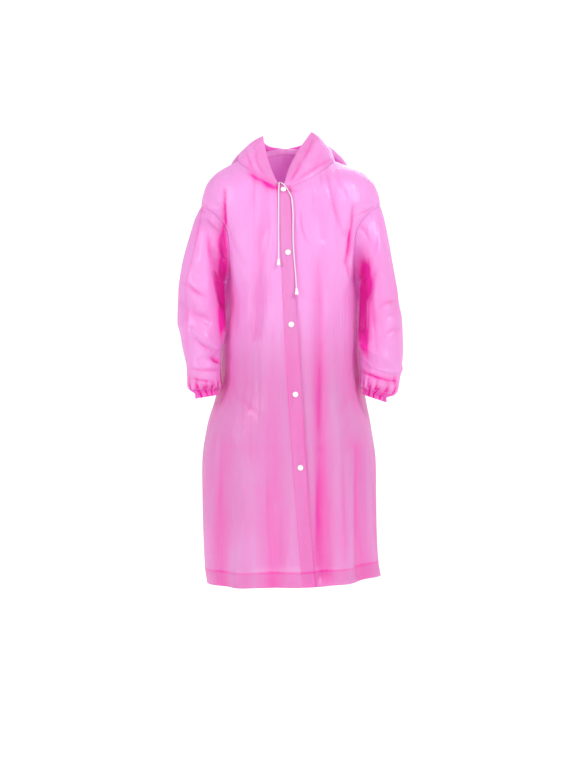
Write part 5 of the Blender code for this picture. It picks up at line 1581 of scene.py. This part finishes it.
@dataclass
class Drawcord:
    """The braided cord: one stretch in the casing and two free ends with moulded tips."""

    finishes: Finishes
    sides: int = 16
    strands: int = 8
    lay_length: float = 0.0085
    tip_radius: float = 0.0045
    tip_length: float = 0.017

    def braid(self, name: str, route: Array, node: str) -> Piece:
        """A braided tube along a route.

        The radius swells by a tenth where two families of strands cross over:
        max(cos(n a + k s), cos(n a - k s)), a the turn and s the length along.

        Args:
            name: the piece's name.
            route: the points that it follows.
            node: the solid that it stands for.

        Returns:
            The new object.
        """
        count = round(path_lengths(route)[-1] / 0.0009)
        path = smooth_path(route, count)
        along = path_lengths(path)[:, None]
        turn = (np.arange(self.sides) / self.sides * 2.0 * math.pi)[None]
        phase = along / self.lay_length * 2.0 * math.pi * self.strands / 2.0
        knit = np.maximum(np.cos(self.strands / 2.0 * turn + phase), np.cos(self.strands / 2.0 * turn - phase))
        relief = (knit + 1.0) / 2.0
        radius = CORD_RADIUS * (0.93 + 0.07 * relief)
        away = np.array([0.31, 0.15, 0.94]) if "casing" in name else np.array([0.05, -1.0, 0.12])
        points, faces = capped_tube(tube(path, away, radius, radius, self.sides))
        thing = add_mesh(name, points, faces, self.finishes.braid)
        # The strands' relief is carried as tone, which the braid's finish also paints as shade between the strands.
        carry(thing, "tone", np.append(relief.ravel(), [0.5, 0.5]))
        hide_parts(node)
        return thing

    def tip(self, name: str, route: Array, node: str) -> Piece:
        """The moulded end: a narrow collar that widens to a rounded foot.

        Args:
            name: the piece's name.
            route: the cord's route, which ends where the tip begins.
            node: the solid that it stands for.

        Returns:
            The new object.
        """
        radius, length = self.tip_radius, self.tip_length
        narrow = radius * 0.62
        profile = np.array([(narrow * 0.62, 0.0), (narrow * 0.85, 0.0002), (narrow * 0.97, 0.0007),
                            (narrow, 0.0013), (narrow * 1.02, 0.0022), (radius * 0.70, length * 0.25),
                            (radius * 0.80, length * 0.42), (radius * 0.92, length * 0.60),
                            (radius, length * 0.74), (radius, length * 0.80), (radius * 0.955, length * 0.90),
                            (radius * 0.87, length * 0.955), (radius * 0.70, length * 0.99),
                            (radius * 0.45, length)])
        points, faces = turned(profile, 40)
        down = unit(route[-1] - route[-2])
        placed = stood_on(points, route[-1] + down * 0.0003, down)
        thing = add_mesh(name, placed, faces, self.finishes.plastic)
        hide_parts(node)
        return thing

    def build(self) -> None:
        """Make the three stretches and the tips of the two free ends."""
        casing = self.braid("cord_in_casing", CASING_ROUTE, "drawcord_casing")
        for word, route, length in (("right", RIGHT_ROUTE, 0.237), ("left", LEFT_ROUTE, 0.328)):
            free = self.braid(f"cord_free_{word}", route, f"drawcord_{word}")
            end = self.tip(f"cord_tip_{word}", route, f"cord_end_{word}")
            LOG.info("drawcord %s: %.3f m", word, path_lengths(route)[-1])


@dataclass(frozen=True)
class Cut:
    """A piece of film as it is cut, laid flat, before it is sewn and hung."""

    width: float
    length: float
    area: float
    held: str
    carried_by: str


@dataclass(frozen=True)
class Snap:
    """A snap: its place on the front's middle surface and its outward direction."""

    number: int
    spot: tuple[float, float, float]
    outward: tuple[float, float, float]


SNAPS = [
    Snap(1, (-0.02349, -0.12013, -0.0990), (0.0350, -0.8765, 0.4801)),
    Snap(2, (-0.01170, -0.14353, -0.2590), (-0.0098, -0.9942, 0.1068)),
    Snap(3, (-0.00350, -0.16022, -0.4400), (-0.0257, -0.9991, 0.0339)),
    Snap(4, (0.00670, -0.16373, -0.6140), (0.0422, -0.9989, 0.0189)),
    Snap(5, (0.01906, -0.16752, -0.7960), (0.0465, -0.9987, 0.0231)),
]


@dataclass
class Snaps:
    """Caps on the band and sockets behind it."""

    finishes: Finishes
    cap_radius: float = 0.007
    socket_radius: float = 0.0055
    cap_lift: float = 0.0009
    socket_depth: float = 0.0063

    def cap_profile(self) -> Array:
        """A cap: a rolled rim, a shallow ring and a low dome."""
        r = self.cap_radius
        return np.array([(r * 0.90, 0.0), (r * 0.97, 0.0002), (r, 0.0007), (r * 0.99, 0.0012),
                         (r * 0.955, 0.0016), (r * 0.90, 0.00178), (r * 0.84, 0.00180), (r * 0.79, 0.00166),
                         (r * 0.74, 0.00160), (r * 0.69, 0.00172), (r * 0.60, 0.00204), (r * 0.45, 0.00232),
                         (r * 0.25, 0.00247), (r * 0.10, 0.0025)])

    def socket_profile(self) -> Array:
        """A socket: a flat flange round a raised rim with a hollow in its middle."""
        r = self.socket_radius
        return np.array([(r * 0.93, 0.0), (r, 0.0002), (r, 0.0006), (r * 0.95, 0.0009), (r * 0.70, 0.0010),
                         (r * 0.62, 0.0013), (r * 0.55, 0.0016), (r * 0.42, 0.0016), (r * 0.36, 0.0013),
                         (r * 0.34, 0.0007), (r * 0.10, 0.0006)])

    def build(self) -> None:
        """Make five caps and five sockets."""
        cap, cap_faces = turned(self.cap_profile(), 48)
        socket, socket_faces = turned(self.socket_profile(), 40)
        for snap in SNAPS:
            spot, outward = np.array(snap.spot), unit(np.array(snap.outward))
            disc = add_mesh(f"cap_disc_{snap.number}", stood_on(cap, spot + outward * self.cap_lift, outward),
                            cap_faces, self.finishes.plastic)
            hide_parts(f"snap_cap_{snap.number}")
            disc = add_mesh(f"socket_disc_{snap.number}",
                            stood_on(socket, spot - outward * self.socket_depth, -outward),
                            socket_faces, self.finishes.plastic)
            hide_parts(f"snap_socket_{snap.number}")
        LOG.info("snaps: %d", len(SNAPS))


@dataclass
class Sewing:
    """Welded seams between the pieces, and the lines of stitches."""

    body: Body
    sleeves: dict[Side, Sleeve]
    hoods: dict[Side, HoodHalf]
    finishes: Finishes
    pitch: float = 0.0038
    stitch: float = 0.0027
    thread_radius: float = 0.00028
    bead_rise: float = 0.00055
    narrow_bead: float = 0.0010
    armhole_inset: float = 0.0009

    def weld(self, name: str, path: Array, away: Array, wide: float = 0.0014,
             tone: float = 0.12) -> Piece:
        """A flat rounded bead along a seam.

        Args:
            name: the piece's name.
            path: the seam's line.
            away: outward directions at the line's points.
            wide: half the bead's width.
            tone: the bead's tone.

        Returns:
            The new object.
        """
        count = max(24, round(path_lengths(path)[-1] / 0.003))
        lengths = np.linspace(0.0, path_lengths(path)[-1], count)
        rings = tube(spaced(path, lengths), spaced_like(path, away, lengths), np.array([[wide]]),
                     np.array([[self.bead_rise]]), 10)
        points, faces = capped_tube(rings)
        thing = add_mesh(name, points, faces, self.finishes.seam)
        carry(thing, "tone", np.full(len(points), tone))
        return thing

    def stitches(self, name: str, path: Array, outward: Array) -> Piece:
        """A line of stitches, each a small closed arch of thread that dips in at its ends.

        Every stitch is the same capsule, moved to its place on the path and turned
        along it: p + x along + y across + z outward.

        Args:
            name: the piece's name.
            path: the line that it follows, in the film's middle.
            outward: outward directions at the line's points.

        Returns:
            The new object.
        """
        path = path + outward * (FILM / 2.0)
        total = path_lengths(path)[-1]
        starts = np.arange(self.pitch, total - self.pitch, self.pitch)
        place = spaced(path, starts)
        along = unit(spaced(path, starts + self.stitch) - place)
        away = unit(spaced_like(path, outward, starts))
        across = unit(np.cross(away, along))
        away = np.cross(along, across)
        share = np.array([0.08, 0.5, 0.92])
        turn = np.arange(5) / 5.0 * 2.0 * math.pi
        swell = np.array([0.7, 1.0, 0.7]) * self.thread_radius
        x = np.concatenate([[0.0], np.repeat(share, 5), [1.0]]) * self.stitch
        y = np.concatenate([[0.0], (swell[:, None] * np.cos(turn)).ravel(), [0.0]])
        rise = np.array([0.4, 1.0, 0.4]) * self.thread_radius
        z = np.concatenate([[0.0], (swell[:, None] * np.sin(turn) + rise[:, None]).ravel(), [0.0]])
        points = (place[:, None] + along[:, None] * x[:, None] + across[:, None] * y[:, None]
                  + away[:, None] * z[:, None])
        one = []
        for step in range(5):
            after = (step + 1) % 5
            one.append((0, 1 + after, 1 + step))
            one.extend((1 + 5 * ring + step, 1 + 5 * ring + after, 6 + 5 * ring + after, 6 + 5 * ring + step)
                       for ring in range(2))
            one.append((16, 11 + step, 11 + after))
        faces = [tuple(corner + 17 * number for corner in face) for number in range(len(starts)) for face in one]
        return add_mesh(name, points, faces, self.finishes.thread)

    def build(self) -> dict[str, list[Piece]]:
        """Make every weld and every line of stitches.

        Returns:
            The sewn pieces by the node of the film that carries them.
        """
        body, sewn = self.body, {}
        for side in Side:
            word, sleeve, hood = side.word, self.sleeves[side], self.hoods[side]
            front, column = (body.front_right, 0) if side is Side.RIGHT else (body.front_left, -1)
            line, away = front.points[:, column], front.outward[:, column]
            under, over = slice(0, body.armhole.start + 1), slice(body.armhole.stop - 1, None)
            sewn[f"front_{word}"] = [self.weld(f"side_seam_{word}", line[under], away[under]),
                                     self.weld(f"shoulder_seam_{word}", line[over], away[over])]
            loop = np.vstack([sleeve.loop, sleeve.loop[:2]])
            away = unit(unit(loop - sleeve.loop.mean(axis=0)) + np.array([side.value * 0.6, 0, 0]))
            sewn[f"sleeve_{word}"] = [
                self.weld(f"armhole_seam_{word}", loop - away * self.armhole_inset, away, self.narrow_bead, 0.0)]
            away = np.stack([np.sin(hood.angles), -np.cos(hood.angles), np.full(len(hood.angles), 0.7)], axis=1)
            sewn[f"hood_{word}"] = [self.weld(f"neck_seam_{word}", hood.seam, unit(away))]
            ring, away = (np.vstack([edge, edge[:2]]) for edge in (sleeve.cuff.points[-1], sleeve.cuff.outward[-1]))
            sewn[f"cuff_{word}"] = [self.weld(f"cuff_seam_{word}", ring, away, self.narrow_bead)]
            edge, away = hood.hood.points[hood.rows], hood.hood.outward[hood.rows]
            sewn[f"hood_casing_{word}"] = [self.stitches(f"casing_stitches_{word}", edge, away)]
        hood, row = self.hoods[Side.LEFT].hood, body.hem_steps
        sewn["hood_left"].append(self.weld("hood_centre_seam", hood.points[:, -1], hood.outward[:, -1]))
        for name, panel, columns in (("right", body.front_right, slice(1, -body.band_columns)),
                                     ("left", body.front_left, slice(body.band_columns, -1)),
                                     ("back", body.back, slice(1, -1))):
            sewn[f"hem_{name}"] = [self.stitches(f"hem_stitches_{name}", panel.points[row, columns],
                                                 panel.outward[row, columns])]
        right, rows = body.front_right, slice(2, -3)
        sewn["placket_right"] = [
            self.stitches(f"band_stitches_{name}", right.points[rows, column], right.outward[rows, column])
            for name, column in (("outer", -body.band_columns), ("inner", -2))]
        LOG.info("sewing done")
        return sewn


def spaced_like(path: Array, values: Array, lengths: Array) -> Array:
    """Values given at a path's points, read at the given lengths from its start."""
    along = path_lengths(path)
    return np.stack([np.interp(lengths, along, values[:, axis]) for axis in range(3)], axis=1)


@dataclass(frozen=True)
class Lamp:
    """A square soft light that looks at the coat's middle."""

    name: str
    place: tuple[float, float, float]
    size: float
    power: float

    def build(self) -> None:
        """Add the light to the scene."""
        data = bpy.data.lights.new(self.name, "AREA")
        data.shape, data.size, data.energy = "SQUARE", self.size, self.power
        lamp = bpy.data.objects.new(self.name, data)
        lamp.location = self.place
        lamp.rotation_euler = (Vector((0.0, 0.0, -0.5)) - Vector(self.place)).to_track_quat("-Z", "Y").to_euler()
        bpy.context.scene.collection.objects.link(lamp)


LAMPS = [Lamp("key", (2.3, -2.4, 2.0), 0.9, 94.0), Lamp("fill", (-2.7, -2.2, 1.0), 1.2, 57.0),
         Lamp("back", (0.6, 2.2, 1.4), 1.6, 44.0)]


@dataclass
class Studio:
    """A pale floor that sweeps up behind, soft lights and the camera."""

    floor_z: float = -1.42
    lens: float = 66.7
    surround: float = 0.44

    def camera(self) -> None:
        """The camera, level and straight in front."""
        data = bpy.data.cameras.new("camera")
        data.lens, data.sensor_width = self.lens, 36.0
        data.clip_start, data.clip_end = 0.05, 60.0
        camera = bpy.data.objects.new("camera", data)
        camera.location = (VIEW_X, -VIEW_DISTANCE, VIEW_Z)
        camera.rotation_euler = (math.pi / 2.0, 0.0, 0.0)
        bpy.context.scene.collection.objects.link(camera)
        bpy.context.scene.camera = camera

    def sweep(self) -> None:
        """The floor and wall in one sheet: flat, then a quarter circle, then upright."""
        radius, far, high = 1.2, 2.6, 4.5
        turn = np.linspace(0.0, math.pi / 2.0, 24)
        y = np.concatenate([[-9.0], far + radius * np.sin(turn), [far + radius]])
        z = np.concatenate([[0.0], radius * (1.0 - np.cos(turn)), [high]]) + self.floor_z
        x = np.linspace(-9.0, 9.0, 3)
        points = np.stack(np.broadcast_arrays(x[None, :], y[:, None], z[:, None]), axis=-1)
        mesh = bpy.data.meshes.new("studio_sweep")
        mesh.from_pydata(points.reshape(-1, 3).tolist(), [], grid_faces(len(y), 3, False))
        mesh.shade_smooth()
        made = bpy.data.materials.new("studio_paper")
        made.use_nodes = True
        bench = NodeBench(made.node_tree)
        paper = made.node_tree.nodes["Principled BSDF"]
        paper.inputs["Roughness"].default_value = 0.9
        paper.inputs["Emission Color"].default_value = (1.0, 1.0, 1.0, 1.0)
        paper.inputs["Emission Strength"].default_value = 0.25
        mottle = bench.noise(bench.add("ShaderNodeTexCoord").outputs["Object"], 2.0, 2.0)
        colour = bench.blend(mottle, (0.93, 0.93, 0.93, 1.0), (0.95, 0.95, 0.95, 1.0))
        bench.tree.links.new(colour, paper.inputs["Base Color"])
        mesh.materials.append(made)
        sweep = bpy.data.objects.new("studio_sweep", mesh)
        bpy.context.scene.collection.objects.link(sweep)

    def build(self) -> None:
        """Set the floor, the lights and the white surround."""
        self.sweep()
        for lamp in LAMPS:
            lamp.build()
        world = bpy.data.worlds.new("surround")
        world.use_nodes = True
        surround = world.node_tree.nodes["Background"]
        surround.inputs["Color"].default_value = (1.0, 1.0, 1.0, 1.0)
        surround.inputs["Strength"].default_value = self.surround
        bpy.context.scene.world = world
        scene = bpy.context.scene
        scene.view_settings.view_transform = "Standard"
        scene.cycles.transparent_max_bounces = 12


# ==== the coat


def main() -> None:
    """Build the coat, its sewing and the studio."""
    logging.basicConfig(level=logging.INFO, format="%(name)s: %(message)s")
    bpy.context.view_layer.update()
    studio = Studio()
    studio.camera()
    finishes = Finishes.make()
    Drawcord(finishes).build()
    form = BodyForm()
    body = Body(form, finishes)
    films = body.build()
    sleeves = {side: Sleeve(side, body.armhole_loop(side), finishes) for side in Side}
    hoods = {side: HoodHalf(side, form, *body.neck_seam(side), finishes) for side in Side}
    for part in (*sleeves.values(), *hoods.values()):
        films |= part.build()
    Snaps(finishes).build()
    Sewing(body, sleeves, hoods, finishes).build()
    studio.build()


if __name__ == "__main__":
    main()
